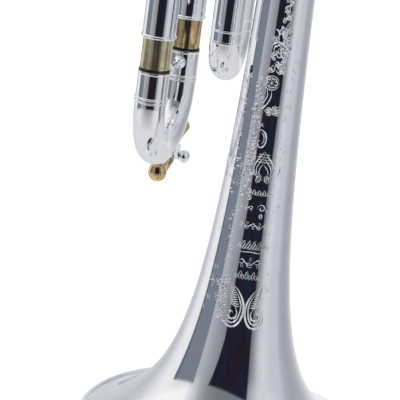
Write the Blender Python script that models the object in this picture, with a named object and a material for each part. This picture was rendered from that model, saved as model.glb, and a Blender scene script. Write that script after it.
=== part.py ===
"""A silver-plated B-flat trumpet that stands on its bell, one object for each piece it is made of.

Run it with blender --background --python part.py, or from Blender's text editor.
Every size below is in millimetres and is turned into metres where a mesh is written.
Places are measured from the centre of the bell's mouth, and BELL_PLACE puts that centre where
the origin of the whole is the middle of its footprint, at the level of the rim.
+Z runs up the bell's axis to the player's end, -Y is the side of the valve buttons and -X is
the player's right.
"""

import math

import bmesh
import bpy
from mathutils import Matrix, Vector

MM = 0.001
GAP = 0.3
BELL_PLACE = Vector((13.6, -13.15, 0.0))

# Bell: the back surface's radius at each height, from the rim to the start of the bow
BELL_OUTLINE = [
    (0.9, 57.0), (2.2, 53.0), (4.0, 49.2), (6.8, 45.2), (10.0, 41.6), (15.0, 36.6), (20.0, 32.6),
    (26.0, 28.9), (32.0, 26.1), (48.0, 20.9), (70.0, 17.4), (100.0, 14.6), (140.0, 12.3),
    (190.0, 10.5), (240.0, 9.6), (320.0, 8.7), (392.0, 8.0),
]
BELL_WALL = 0.7
RIM_RADIUS = 59.5
RIM_EDGES = 8
RIM_HEIGHT = 1.6
CHANNEL_RADIUS = 0.54
WIRE_RADIUS = 0.28
BOW_START = 392.0
BOW_END_RADIUS = 7.0
TAIL = Vector((-27.0, 62.0, 0.0))
TAIL_END = 341.0
TAIL_RADIUS = 6.3
TAIL_STRAIGHT = 14.0
TAIL_COLLAR_RADIUS = 7.5
TAIL_COLLAR_BORE = 6.8

# Tube sizes shared by the slides
LEG_RADIUS = 5.85
LEG_BORE = 5.35
SLEEVE_RADIUS = 6.45
SLEEVE_BORE = 6.15
CROOK_RADIUS = 6.2
CROOK_BORE = 5.5
BEAD_RADIUS = 6.9
BEAD_LENGTH = 1.4

# Leadpipe, receiver and mouthpiece, on one axis
LEAD = Vector((-45.65, -4.8, 0.0))
LEADPIPE_START = 241.0
LEADPIPE_END = 456.0
RECEIVER_START = 446.0
RECEIVER_END = 483.0
MOUTHPIECE_TIP = 459.0

# Main tuning slide, shown drawn out by SLIDE_DRAWN
LOWER = Vector((-42.2, 40.4, 0.0))
MAIN_SLEEVE_END = 157.0
SLIDE_DRAWN = 13.2
FERRULE_LENGTH = 12.4
BEND_START = 130.0
UPPER_SLEEVE_TOP = 252.0
LOWER_SLEEVE_TOP = 254.7
LEG_TOP = 222.0

# Water key on the outside of the main slide's bend, by its angle round the bend
KEY_HOLE_ANGLE = math.radians(5)
KEY_PIVOT_ANGLE = math.radians(28.5)
KEY_TOUCH_ANGLE = math.radians(54)
KEY_END_ANGLE = math.radians(62)
NIPPLE_HEIGHT = 1.0
CORK_HEIGHT = 1.6
PIVOT_RISE = 4.2
PIN_RADIUS = 0.85

# Valves, first to third
VALVE_NAMES = ("first", "second", "third")
VALVE_X = -27.0
VALVE_Z = (324.0, 297.0, 270.0)
CASING_TOP = -36.0
CASING_END = 82.0
CASING_RADIUS = 9.9
CASING_BORE = 8.6
THREAD_RADIUS = 10.45
CAP_BORE = 10.75
CAP_RADIUS = 11.4
CAP_TOP = -40.5
BOTTOM_CAP_END = 90.0
PISTON_RADIUS = 8.3
PISTON_TOP = -33.0
PISTON_END = 70.0
STROKE = 17.0
STEM_RADIUS = 2.2
STEM_TOP = -58.7
BARREL_BORE = 7.3
BARREL_ROOF = -30.8
BARREL_FLOOR = -6.6
GUIDE_TOP = -9.0
BUTTON_TOP = -63.2
PORT_RADIUS = 5.6
PASSAGE_RADIUS = 5.2

# Slides of the valves
FIRST_Y = (18.0, 42.0)
SECOND_Y = (18.0, 38.0)
THIRD_Y = (17.7, 43.7)
THIRD_X = -23.0
FIRST_SLEEVE_END = 366.0
SECOND_SLEEVE_END = -58.0
THIRD_SLEEVE_END = 214.6
THIRD_LEG_TOP = 254.0
THIRD_BEND_START = 155.6

# Where the tubes pass between the valves
KNUCKLE_32_Y = 40.4
KNUCKLE_21_Y = 52.0

# Facets round each kind of piece
BELL_SIDES = 32
VALVE_SIDES = 16
TUBE_SIDES = 12
SMALL_SIDES = 8

UP = Vector((0, 0, 1))
DOWN = Vector((0, 0, -1))
RIGHT = Vector((-1, 0, 0))
LEFT = Vector((1, 0, 0))
TOP = Vector((0, -1, 0))
BOTTOM = Vector((0, 1, 0))

FINISHES = {
    "silver": ((0.93, 0.93, 0.94), 1.0, 0.08),
    "brass": ((0.62, 0.50, 0.28), 1.0, 0.22),
    "gold": ((0.86, 0.66, 0.33), 1.0, 0.15),
    "steel": ((0.60, 0.60, 0.62), 1.0, 0.25),
    "nylon": ((0.90, 0.89, 0.85), 0.0, 0.45),
    "cork": ((0.55, 0.40, 0.26), 0.0, 0.90),
    "pearl": ((0.92, 0.92, 0.90), 0.0, 0.18),
}


def clear_scene():
    """Remove every object that the file opened with."""
    for obj in list(bpy.data.objects):
        bpy.data.objects.remove(obj, do_unlink=True)


def finish(name):
    """Give one of the finishes as a material, made the first time it is asked for."""
    if name in bpy.data.materials:
        return bpy.data.materials[name]
    colour, metallic, roughness = FINISHES[name]
    material = bpy.data.materials.new(name)
    material.use_nodes = True
    shader = material.node_tree.nodes["Principled BSDF"]
    shader.inputs["Base Color"].default_value = (*colour, 1.0)
    shader.inputs["Metallic"].default_value = metallic
    shader.inputs["Roughness"].default_value = roughness
    return material


class Route:
    """A centre line in one plane, made of straight runs and arcs and read by its distance along."""

    def __init__(self, start, heading, side, runs):
        self.start = Vector(start)
        self.heading = heading.normalized()
        self.side = side.normalized()
        self.runs = runs

    def at(self, distance):
        """The point and the heading at a distance from the start."""
        point = self.start.copy()
        heading = self.heading.copy()
        for length, turn in self.runs:
            step = min(distance, length)
            if turn:
                radius = length / turn
                centre = point + radius * self.side.cross(heading)
                spin = Matrix.Rotation(step / radius, 3, self.side)
                point = centre + spin @ (point - centre)
                heading = spin @ heading
            else:
                point = point + heading * step
            distance -= step
            if distance <= 1e-9:
                return point, heading
        return point + heading * distance, heading

    def stops(self, every=math.radians(22.5)):
        """Distances where the line starts or ends a run, and steps round each arc."""
        found = []
        passed = 0.0
        for length, turn in self.runs:
            steps = max(1, round(abs(turn) / every))
            found += [passed + length * i / steps for i in range(steps + 1)]
            passed += length
        return found


def straight(start, heading, side):
    """A route that never bends."""
    return Route(start, heading, side, [(1000.0, 0.0)])


def bow(start, heading, toward, before, radius, after):
    """A route that runs straight, turns back on itself toward a direction, and runs straight."""
    side = heading.cross(toward)
    return Route(start, heading, side, [(before, 0.0), (math.pi * radius, math.pi), (after, 0.0)])


def with_stops(outline, stops):
    """An outline of (distance, radius) with a point added at each stop between its ends."""
    filled = [outline[0]]
    for (s0, r0), (s1, r1) in zip(outline, outline[1:]):
        low, high = min(s0, s1), max(s0, s1)
        inside = sorted((s for s in stops if low + 0.01 < s < high - 0.01), reverse=s1 < s0)
        filled += [(s, r0 + (r1 - r0) * (s - s0) / (s1 - s0)) for s in inside]
        filled.append((s1, r1))
    return filled


def circle(point, heading, side, radius, sides):
    """A ring of points round a heading; the first lies along the side direction."""
    across = heading.cross(side)
    turns = [2 * math.pi * i / sides for i in range(sides)]
    return [point + radius * (math.cos(a) * side + math.sin(a) * across) for a in turns]


def skin(name, rings, closed, origin, colour, smooth=40):
    """A closed body whose surface runs from ring to ring; closed joins the last ring to the first."""
    mesh = bpy.data.meshes.new(name)
    build = bmesh.new()
    loops = [[build.verts.new((co - origin) * MM) for co in ring] for ring in rings]
    pairs = list(zip(loops, loops[1:]))
    if closed:
        pairs.append((loops[-1], loops[0]))
    else:
        build.faces.new(loops[0])
        build.faces.new(loops[-1])
    count = len(loops[0])
    for one, two in pairs:
        for i in range(count):
            j = (i + 1) % count
            build.faces.new((one[i], one[j], two[j], two[i]))
    bmesh.ops.recalc_face_normals(build, faces=build.faces)
    build.to_mesh(mesh)
    build.free()
    mesh.shade_smooth()
    mesh.set_sharp_from_angle(angle=math.radians(smooth))
    mesh.materials.append(finish(colour))
    obj = bpy.data.objects.new(name, mesh)
    obj.location = (origin + BELL_PLACE) * MM
    bpy.context.collection.objects.link(obj)
    return obj


def tube(name, route, outer, inner, colour, sides=TUBE_SIDES, origin=None):
    """A pipe along a route, from its outer and inner (distance, radius) outlines."""
    stops = route.stops()
    outline = with_stops(outer, stops) + with_stops(inner, stops)[::-1]
    rings = []
    for distance, radius in outline:
        point, heading = route.at(distance)
        rings.append(circle(point, heading, route.side, radius, sides))
    return skin(name, rings, True, origin or route.at(outer[0][0])[0], colour)


def turned(name, route, outer, colour, sides=SMALL_SIDES, origin=None):
    """A solid turned piece along a straight route."""
    rings = []
    for distance, radius in outer:
        point, heading = route.at(distance)
        rings.append(circle(point, heading, route.side, radius, sides))
    return skin(name, rings, False, origin or route.at(outer[0][0])[0], colour)


def strip(name, route, widths, thickness, colour, origin=None):
    """A flat strip along a route, from (distance, width) across the route's side direction."""
    rings = []
    for distance, width in with_stops(widths, route.stops()):
        point, heading = route.at(distance)
        half = route.side * width / 2
        rise = heading.cross(route.side) * thickness / 2
        rings.append([point + half + rise, point - half + rise, point - half - rise, point + half - rise])
    return skin(name, rings, False, origin or route.at(widths[0][0])[0], colour, smooth=30)


def prism(name, outline, start, along, colour, origin):
    """An outline of points moved along a direction to make a solid."""
    near = [point + start for point in outline]
    far = [point + start + along for point in outline]
    return skin(name, [near, far], False, origin, colour, smooth=30)


def guide(obj):
    """Mark an object as a shape that only cuts or joins others."""
    obj.hide_render = True
    obj.display_type = "WIRE"
    return obj


def rod(name, start, end, radius, sides=SMALL_SIDES):
    """A hidden solid rod between two points, for cutting."""
    heading = (end - start).normalized()
    if 0.01 < abs(heading.z) < 0.99:
        side = heading.cross(UP)
    else:
        side = LEFT if abs(heading.x) < 0.01 else UP
    side = (side - heading * side.dot(heading)).normalized()
    rings = [circle(point, heading, side, radius, sides) for point in (start, end)]
    return guide(skin(name, rings, False, start, "steel"))


def block(name, centre, along, across, rise, size):
    """A hidden solid block with its edges along three directions."""
    length, width, height = size
    corners = [(1, 1), (-1, 1), (-1, -1), (1, -1)]
    outline = [along * length / 2 * a + across * width / 2 * b for a, b in corners]
    start = centre - rise * height / 2
    return guide(prism(name, outline, start, rise * height, "steel", centre))


def combine(obj, other, operation):
    """Join, cut or keep with another object, exactly."""
    modifier = obj.modifiers.new(operation.lower(), "BOOLEAN")
    modifier.operation = operation
    modifier.object = other
    modifier.solver = "EXACT"


def cut(obj, *others):
    """Take other objects away from this one."""
    for other in others:
        combine(obj, other, "DIFFERENCE")


def join(obj, *others):
    """Add other objects to this one."""
    for other in others:
        combine(obj, guide(other), "UNION")


def axis_point(name, place, pieces):
    """An empty on a joint's axis that carries the pieces of its body."""
    empty = bpy.data.objects.new(name, None)
    empty.location = (place + BELL_PLACE) * MM
    empty.empty_display_size = 0.01
    bpy.context.collection.objects.link(empty)
    for piece in pieces:
        piece.parent = empty
        piece.matrix_parent_inverse = Matrix.Translation(-(place + BELL_PLACE) * MM)


def bead(at, radius=SLEEVE_RADIUS, raised=BEAD_RADIUS, length=BEAD_LENGTH):
    """The outline of a raised ring that starts at a distance along a tube."""
    return [(at, radius), (at, raised), (at + length, raised), (at + length, radius)]


def bell():
    """The bell with its bow: one tube whose rim is rolled round the rim wire."""
    toward = TAIL.normalized()
    side = UP.cross(toward)
    radius = TAIL.length / 2
    bow_length = math.pi * radius
    route = Route((0, 0, 0), UP, side,
                  [(BOW_START, 0.0), (bow_length, math.pi), (BOW_START - TAIL_END, 0.0)])
    end = BOW_START + bow_length + BOW_START - TAIL_END
    back = BELL_OUTLINE + [(BOW_START + bow_length, BOW_END_RADIUS), (end - TAIL_STRAIGHT, TAIL_RADIUS),
                           (end, TAIL_RADIUS)]
    back = with_stops(back, route.stops())
    mouth = inner_outline(back)
    channel, roll = rim_roll()
    outline = back[::-1] + channel + roll + mouth
    rings = []
    for distance, ring_radius in outline:
        point, heading = route.at(distance)
        if distance < BOW_START:
            point, heading = Vector((0, 0, distance)), UP
        rings.append(circle(point, heading, side, ring_radius, BELL_SIDES))
    return skin("bell", rings, True, Vector((0, 0, 0)), "silver")


def inner_outline(outline):
    """The same outline one wall's thickness further in, measured square to the surface."""
    inner = []
    last = len(outline) - 1
    for i, (s, r) in enumerate(outline):
        before = outline[max(i - 1, 0)]
        after = outline[min(i + 1, last)]
        ds, dr = after[0] - before[0], after[1] - before[1]
        length = math.hypot(ds, dr)
        across = (-dr / length, ds / length)
        keep = 0.0 if i == last else 1.0
        inner.append((s - BELL_WALL * across[0] * keep, r - BELL_WALL * across[1]))
    return inner


def rim_roll():
    """The rolled rim's inside and outside, from its open end round to the flat that it stands on."""
    half = math.pi / RIM_EDGES
    outside = RIM_HEIGHT / 2 / math.cos(half)
    centre = (RIM_HEIGHT / 2, RIM_RADIUS - RIM_HEIGHT / 2)
    turns = [-math.pi / 2 - half + 2 * half * i for i in range(7)]

    def around(radius):
        return [(centre[0] + radius * math.sin(a), centre[1] + radius * math.cos(a)) for a in turns]

    return around(CHANNEL_RADIUS), around(outside)[::-1]


def rim_wire():
    """The wire that the bell's rim is rolled round."""
    half = math.pi / RIM_EDGES
    centre_z, centre_r = RIM_HEIGHT / 2, RIM_RADIUS - RIM_HEIGHT / 2
    turns = [half + 2 * half * i for i in range(RIM_EDGES)]
    rings = []
    for a in turns:
        point = Vector((0, 0, centre_z + WIRE_RADIUS * math.sin(a)))
        radius = centre_r + WIRE_RADIUS * math.cos(a)
        rings.append(circle(point, UP, UP.cross(TAIL.normalized()), radius, BELL_SIDES))
    return skin("bell_rim_wire", rings, True, Vector((0, 0, 0)), "brass")


def casing_clearances():
    """For each valve, a hidden rod that trims whatever is fitted to its casing."""
    found = []
    for name, z in zip(VALVE_NAMES, VALVE_Z):
        start = Vector((VALVE_X, CASING_TOP - 10, z))
        end = Vector((VALVE_X, CASING_END + 10, z))
        found.append(rod(f"{name}_clearance", start, end, CASING_RADIUS + GAP, VALVE_SIDES))
    return found


def tail_ferrule(clearance):
    """The collar that holds the bell's tail on the first casing."""
    route = straight(TAIL + UP * VALVE_Z[0], UP, LEFT)
    shoulder = TAIL_END - GAP - VALVE_Z[0]
    outer = [(0, TAIL_COLLAR_RADIUS)] + bead(26, TAIL_COLLAR_RADIUS, 8.0)
    inner = [(0, PORT_RADIUS), (shoulder, PORT_RADIUS), (shoulder, TAIL_COLLAR_BORE),
             (26 + BEAD_LENGTH, TAIL_COLLAR_BORE)]
    piece = tube("bell_tail_ferrule", route, outer, inner, "silver")
    cut(piece, clearance)
    return piece


def leadpipe():
    """The tapered pipe from the receiver to the main slide."""
    route = straight(LEAD + UP * LEADPIPE_START, UP, LEFT)
    length = LEADPIPE_END - LEADPIPE_START
    outer = [(0, LEG_RADIUS), (15, LEG_RADIUS), (length, 5.1)]
    inner = [(0, LEG_BORE), (15, LEG_BORE), (length, 4.4)]
    return tube("leadpipe", route, outer, inner, "silver")


def receiver():
    """The socket that is soldered over the leadpipe's end and takes the mouthpiece's shank."""
    route = straight(LEAD + UP * RECEIVER_START, UP, LEFT)
    length = RECEIVER_END - RECEIVER_START
    seat = LEADPIPE_END - RECEIVER_START + GAP
    outer = [(0, 6.0), (1, 6.7), (3, 6.7), (4, 6.1), (length - 12, 6.4), (length - 8, 7.3),
             (length - 1, 7.5), (length, 7.2)]
    inner = [(0, 5.45), (seat, 5.45), (seat, 5.1), (length, 5.5)]
    return tube("mouthpiece_receiver", route, outer, inner, "silver")


def mouthpiece():
    """A cup mouthpiece whose tapered shank stands in the receiver."""
    tip = LEAD + UP * MOUTHPIECE_TIP
    route = straight(tip, UP, LEFT)
    outer = [(0, 4.75), (24, 5.15), (30, 5.4), (43, 6.3), (46, 7.1), (49, 7.1), (52, 6.6),
             (60, 8.4), (66, 10.6), (74, 12.0), (80, 12.6), (83, 13.4), (86.5, 13.5), (88, 12.4)]
    inner = [(0, 4.1), (60, 2.2), (68, 1.85), (73, 1.9), (75, 3.6), (79, 6.4), (84, 7.7),
             (87, 8.3), (88, 9.4)]
    piece = tube("mouthpiece", route, outer, inner, "silver", VALVE_SIDES)
    axis_point("mouthpiece_axis", tip, [piece])


def main_sleeves(clearance):
    """The two outer tubes of the main slide, and the elbow that joins the lower one to the valve."""
    length = UPPER_SLEEVE_TOP - MAIN_SLEEVE_END
    outer = bead(0) + [(length - 2, SLEEVE_RADIUS), (length, SLEEVE_RADIUS)]
    inner = [(0, SLEEVE_BORE), (length, SLEEVE_BORE)]
    tube("main_slide_upper_sleeve", straight(LEAD + UP * MAIN_SLEEVE_END, UP, LEFT), outer, inner, "silver")
    length = LOWER_SLEEVE_TOP - MAIN_SLEEVE_END
    outer = bead(0) + [(length, SLEEVE_RADIUS)]
    inner = [(0, SLEEVE_BORE), (length, SLEEVE_BORE)]
    tube("main_slide_lower_sleeve", straight(LOWER + UP * MAIN_SLEEVE_END, UP, LEFT), outer, inner,
         "silver")
    reach = 8.0
    rise = VALVE_Z[2] - reach - LOWER_SLEEVE_TOP - GAP
    sideways = VALVE_X - LOWER.x - reach
    route = Route(LOWER + UP * (LOWER_SLEEVE_TOP + GAP), UP, BOTTOM,
                  [(rise, 0.0), (reach * math.pi / 2, math.pi / 2), (sideways, 0.0)])
    end = rise + reach * math.pi / 2 + sideways
    elbow = tube("third_valve_elbow", route, [(0, SLEEVE_RADIUS), (end, SLEEVE_RADIUS)],
                 [(0, PORT_RADIUS), (end, PORT_RADIUS)], "silver")
    cut(elbow, clearance)


def main_slide():
    """The main tuning slide: two legs, their ferrules, the bend, the brace and the water key."""
    spread = LOWER - LEAD
    toward = spread.normalized()
    radius = spread.length / 2
    top = MAIN_SLEEVE_END - SLIDE_DRAWN
    low = top - FERRULE_LENGTH
    pieces = []
    for name, place in (("upper", LEAD), ("lower", LOWER)):
        leg = straight(place + UP * (top + GAP), UP, LEFT)
        length = LEG_TOP - top - GAP
        pieces.append(tube(f"main_slide_{name}_leg", leg, [(0, LEG_RADIUS), (length, LEG_RADIUS)],
                           [(0, LEG_BORE), (length, LEG_BORE)], "brass"))
        collar = straight(place + UP * low, UP, LEFT)
        outer = bead(0, CROOK_RADIUS, 6.7) + bead(1.9, CROOK_RADIUS, 6.7)
        outer += [(FERRULE_LENGTH, CROOK_RADIUS)]
        pieces.append(tube(f"main_slide_{name}_ferrule", collar, outer,
                           [(0, LEG_BORE), (FERRULE_LENGTH, LEG_BORE)], "silver"))
    run = low - GAP - BEND_START
    route = bow(LEAD + UP * (low - GAP), DOWN, toward, run, radius, run)
    end = 2 * run + math.pi * radius
    crook = tube("main_slide_crook", route, [(0, CROOK_RADIUS), (end, CROOK_RADIUS)],
                 [(0, CROOK_BORE), (end, CROOK_BORE)], "silver")
    pieces.append(crook)
    pieces.append(brace("main_slide_brace", LEAD + UP * (low + 8), toward, spread.length,
                        CROOK_RADIUS, CROOK_RADIUS, 2.6))
    centre = LEAD + spread / 2 + UP * BEND_START
    pieces += water_key(centre, toward, radius, crook)
    axis_point("main_slide_axis", LEAD + UP * top, pieces)


def brace(name, start, along, distance, first_radius, second_radius, flange):
    """A turned brace that stands between two tubes, with a soldered foot at each end."""
    near = first_radius + GAP
    far = distance - second_radius - GAP
    middle = (near + far) / 2
    bar = flange * 0.45
    outer = [(near, flange), (near + 0.8, flange), (near + 1.6, bar), (middle - 1.6, bar),
             (middle, bar * 1.7), (middle + 1.6, bar), (far - 1.6, bar), (far - 0.8, flange), (far, flange)]
    side = along.cross(UP).normalized()
    return turned(name, straight(start, along, side), outer, "silver", SMALL_SIDES)


def water_key(centre, toward, radius, crook):
    """The water key's pieces; the lever and its cork turn about the screw."""
    side = toward.cross(UP).normalized()
    surface = radius + CROOK_RADIUS

    def outward(angle):
        return math.sin(angle) * toward - math.cos(angle) * UP

    def along(angle):
        return math.cos(angle) * toward + math.sin(angle) * UP

    def place(angle, distance):
        return centre + outward(angle) * distance

    hole = KEY_HOLE_ANGLE
    seat = surface + GAP
    cut(crook, rod("drain_hole", place(hole, radius), place(hole, surface + 2), 1.6))
    nipple = tube("water_key_nipple", straight(place(hole, seat), outward(hole), side),
                  [(0, 3.3), (0.5, 2.8), (NIPPLE_HEIGHT, 2.5)], [(0, 1.6), (NIPPLE_HEIGHT, 1.6)],
                  "silver", SMALL_SIDES)
    cork_base = seat + NIPPLE_HEIGHT + GAP
    cork = turned("water_key_cork", straight(place(hole, cork_base), outward(hole), side),
                  [(0, 2.7), (0.2, 2.9), (CORK_HEIGHT, 2.9)], "cork")

    pivot_distance = surface + PIVOT_RISE
    pivot = place(KEY_PIVOT_ANGLE, pivot_distance)
    rise = outward(KEY_PIVOT_ANGLE)
    length = along(KEY_PIVOT_ANGLE)
    ear, slot, floor, head = 5.2, 3.7, 1.3, 1.9
    low = seat - pivot_distance
    outline = [(-ear, low), (ear, low), (ear, head), (slot, head), (slot, low + floor),
               (-slot, low + floor), (-slot, head), (-ear, head)]
    points = [side * a + rise * b for a, b in outline]
    saddle = prism("water_key_saddle", points, pivot - length * 1.8, length * 3.6, "silver", pivot)
    pin_hole = rod("pin_hole", pivot - side * 9, pivot + side * 9, PIN_RADIUS + GAP)
    cut(saddle, pin_hole)
    screw = turned("water_key_screw", straight(pivot, side, rise),
                   [(-6.0, PIN_RADIUS), (5.5, PIN_RADIUS), (5.5, 1.5), (5.8, 2.2), (6.6, 2.8),
                    (7.8, 2.8), (8.8, 2.0), (9.4, 0.6)], "silver", SMALL_SIDES, pivot)

    coil_radius, coil_wire, coil_turns = 1.3, 0.28, 3
    rings = []
    steps = coil_turns * 9
    for i in range(steps + 1):
        turn = 2 * math.pi * coil_turns * i / steps
        spoke = math.cos(turn) * rise + math.sin(turn) * length
        point = pivot + side * (0.7 + 2.4 * i / steps) + spoke * coil_radius
        rings.append(circle(point, side.cross(spoke), side, coil_wire, 5))
    spring = skin("water_key_spring", rings, False, pivot, "steel")

    cup_base = cork_base + CORK_HEIGHT + GAP
    arm = cup_base + 3.3
    sweep = KEY_END_ANGLE - hole
    arm_length = arm * sweep
    arm_route = Route(place(hole, arm), along(hole), side, [(arm_length, sweep)])
    per_angle = arm_length / sweep
    at_pivot = (KEY_PIVOT_ANGLE - hole) * per_angle
    at_touch = (KEY_TOUCH_ANGLE - hole) * per_angle
    widths = [(0, 4.0), (at_pivot - 4, 5.2), (at_pivot, 6.0), (at_pivot + 5, 4.0), (at_touch - 3, 7.0),
              (at_touch + 1.5, 10.0), (arm_length, 6.5)]
    lever = strip("water_key_lever", arm_route, widths, 1.5, "gold", pivot)
    knuckle = turned("lever_knuckle", straight(pivot, side, rise), [(-3.2, 2.2), (0.0, 2.2)], "gold")
    cup = turned("lever_cup", straight(place(hole, cup_base), outward(hole), side),
                 [(0, 3.5), (1.4, 3.8), (3.0, 3.6), (4.2, 2.6), (4.8, 1.0)], "gold")
    join(lever, knuckle, cup)
    cut(lever, pin_hole)
    axis_point("water_key_axis", pivot, [lever, cork])
    return [nipple, saddle, screw, spring]


def casing(name, z, ports):
    """A valve casing with its threaded ends, cut by the tubes that enter it."""
    route = straight(Vector((VALVE_X, CASING_TOP, z)), BOTTOM, LEFT)
    length = CASING_END - CASING_TOP
    thread = 6.0
    outer = [(0, THREAD_RADIUS), (thread, THREAD_RADIUS), (thread + 0.6, CASING_RADIUS),
             (length - thread - 0.6, CASING_RADIUS), (length - thread, THREAD_RADIUS),
             (length, THREAD_RADIUS)]
    inner = [(0, CASING_BORE), (length, CASING_BORE)]
    piece = tube(f"{name}_valve_casing", route, outer, inner, "silver", VALVE_SIDES)
    for i, (start, heading) in enumerate(ports):
        cut(piece, rod(f"{name}_port_{i}", start, start + heading * 16, PORT_RADIUS))


def caps(name, z):
    """The screwed caps of one valve."""
    top = straight(Vector((VALVE_X, CAP_TOP, z)), BOTTOM, LEFT)
    roof = CASING_TOP - GAP - CAP_TOP
    outer = [(0, 9.6), (1.2, CAP_RADIUS), (4.6, CAP_RADIUS), (5.4, 11.1), (6.2, CAP_RADIUS),
             (10, CAP_RADIUS)]
    inner = [(0, 4.6), (roof, 4.6), (roof, CAP_BORE), (10, CAP_BORE)]
    tube(f"{name}_valve_top_cap", top, outer, inner, "silver", VALVE_SIDES)
    skirt = CASING_END - 5.4
    bottom = straight(Vector((VALVE_X, skirt, z)), BOTTOM, LEFT)
    length = BOTTOM_CAP_END - skirt
    outer = [(0, CAP_RADIUS), (length - 3, CAP_RADIUS), (length - 0.8, 10.4), (length, 8.6)]
    inner = [(0, CAP_BORE), (5.7, CAP_BORE), (5.7, 9.2), (length - 1.6, 9.2), (length - 1.6, 2.5),
             (length, 2.5)]
    tube(f"{name}_valve_bottom_cap", bottom, outer, inner, "silver", VALVE_SIDES)


def piston(name, z, passages):
    """A piston with its stem, its spring barrel and its passages, and the button on top."""
    crown = Vector((VALVE_X, PISTON_TOP, z))
    route = straight(crown, BOTTOM, LEFT)
    outer = [(STEM_TOP - PISTON_TOP, STEM_RADIUS), (-2.0, STEM_RADIUS), (-2.0, 4.0), (0, 4.0),
             (0, PISTON_RADIUS), (PISTON_END - PISTON_TOP, PISTON_RADIUS)]
    body = turned(f"{name}_valve_piston", route, outer, "steel", VALVE_SIDES, crown)
    barrel = rod(f"{name}_barrel", Vector((VALVE_X, BARREL_ROOF, z)), Vector((VALVE_X, BARREL_FLOOR, z)),
                 BARREL_BORE, VALVE_SIDES)
    middle = Vector((VALVE_X, (BARREL_ROOF + 2 + BARREL_FLOOR - 0.3) / 2, z))
    slots = block(f"{name}_slots", middle, LEFT, UP, BOTTOM,
                  (24, 5.6, BARREL_FLOOR - BARREL_ROOF - 2.3))
    cut(body, barrel, slots)
    for i, (depth, ends) in enumerate(passages):
        centre = Vector((VALVE_X, depth, z))
        for j, end in enumerate(ends):
            reach = centre + (end - centre).normalized() * 14
            back = centre - (end - centre).normalized() * 2
            cut(body, rod(f"{name}_passage_{i}{j}", back, reach, PASSAGE_RADIUS))
    button_route = straight(Vector((VALVE_X, BUTTON_TOP, z)), BOTTOM, LEFT)
    lip, recess = 0.9, 6.4
    height = STEM_TOP - BUTTON_TOP - GAP
    outer = [(0, recess + 0.6), (0.5, 7.6), (2.4, 7.6), (3.0, 6.8), (3.2, 3.4), (height, 3.4)]
    rings = [(lip, 0.01)] + [(lip, recess), (0, recess)] + outer
    button = turned(f"{name}_valve_button", button_route, rings, "silver", VALVE_SIDES)
    pearl = turned(f"{name}_button_pearl", button_route,
                   [(-0.5, 4.6), (-0.1, 6.1), (lip - GAP, 6.1)], "pearl", VALVE_SIDES)
    axis_point(f"{name}_valve_axis", crown, [body, button, pearl])


def valve_guide(name, z):
    """The star-shaped guide that sits across a casing and keeps its piston from turning."""
    route = straight(Vector((VALVE_X, GUIDE_TOP, z)), BOTTOM, LEFT)
    disc = turned(f"{name}_valve_guide", route, [(0, 6.8), (1.9, 6.8)], "nylon", VALVE_SIDES)
    lugs = block(f"{name}_lugs", Vector((VALVE_X, GUIDE_TOP + 0.95, z)), LEFT, UP, BOTTOM, (15.9, 4.4, 1.5))
    join(disc, lugs)


def valve_spring(name, z):
    """The coil spring that stands on the guide and lifts the piston."""
    coils, per_coil, coil_radius, wire = 6, 9, 6.1, 0.45
    low = GUIDE_TOP - GAP - wire
    high = BARREL_ROOF + GAP + wire
    rings = []
    steps = coils * per_coil
    for i in range(steps + 1):
        turn = 2 * math.pi * i / per_coil
        spoke = math.cos(turn) * LEFT + math.sin(turn) * UP
        point = Vector((VALVE_X, low + (high - low) * i / steps, z)) + spoke * coil_radius
        rings.append(circle(point, spoke.cross(BOTTOM), BOTTOM, wire, 5))
    skin(f"{name}_valve_spring", rings, False, Vector((VALVE_X, low, z)), "steel")


def knuckle(name, y, low, high, clearances):
    """The short tube that carries the air between two casings."""
    route = straight(Vector((VALVE_X, y, low)), UP, LEFT)
    piece = tube(name, route, [(0, SLEEVE_RADIUS), (high - low, SLEEVE_RADIUS)],
                 [(0, PORT_RADIUS), (high - low, PORT_RADIUS)], "silver")
    cut(piece, *clearances)


def valve_sleeves(name, starts, heading, length, clearance, bar_at):
    """A valve slide's two fixed tubes, trimmed to the casing and tied by a bar."""
    side = heading.cross(starts[1] - starts[0]).normalized()
    outer = [(0, SLEEVE_RADIUS), (length - BEAD_LENGTH, SLEEVE_RADIUS)] + bead(length - BEAD_LENGTH)
    inner = [(0, SLEEVE_BORE), (length, SLEEVE_BORE)]
    upper = tube(name, straight(starts[0], heading, side), outer, inner, "silver")
    lower = tube(f"{name}_lower", straight(starts[1], heading, side), outer, inner, "silver")
    across = (starts[1] - starts[0]).normalized()
    overlap = SLEEVE_BORE + 0.03
    bar = rod(f"{name}_bar", starts[0] + heading * bar_at + across * overlap,
              starts[1] + heading * bar_at - across * overlap, 1.3, 8)
    join(upper, lower, bar)
    cut(upper, clearance)


def valve_slide(name, start, heading, toward, engaged, exposed, radius, beads):
    """A valve's sliding U-tube: two legs that run in the sleeves and the crook between them."""
    run = engaged + exposed
    route = bow(start, heading, toward, run, radius, run)
    end = 2 * run + math.pi * radius
    outer = [(0, LEG_RADIUS), (engaged, LEG_RADIUS), (engaged, CROOK_RADIUS)]
    for at in beads:
        outer += bead(engaged + at, CROOK_RADIUS, 6.6, 1.0)
    outer += [(end - s, r) for s, r in outer[::-1]]
    inner = [(0, LEG_BORE), (end, LEG_BORE)]
    return tube(name, route, outer, inner, "silver")


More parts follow.
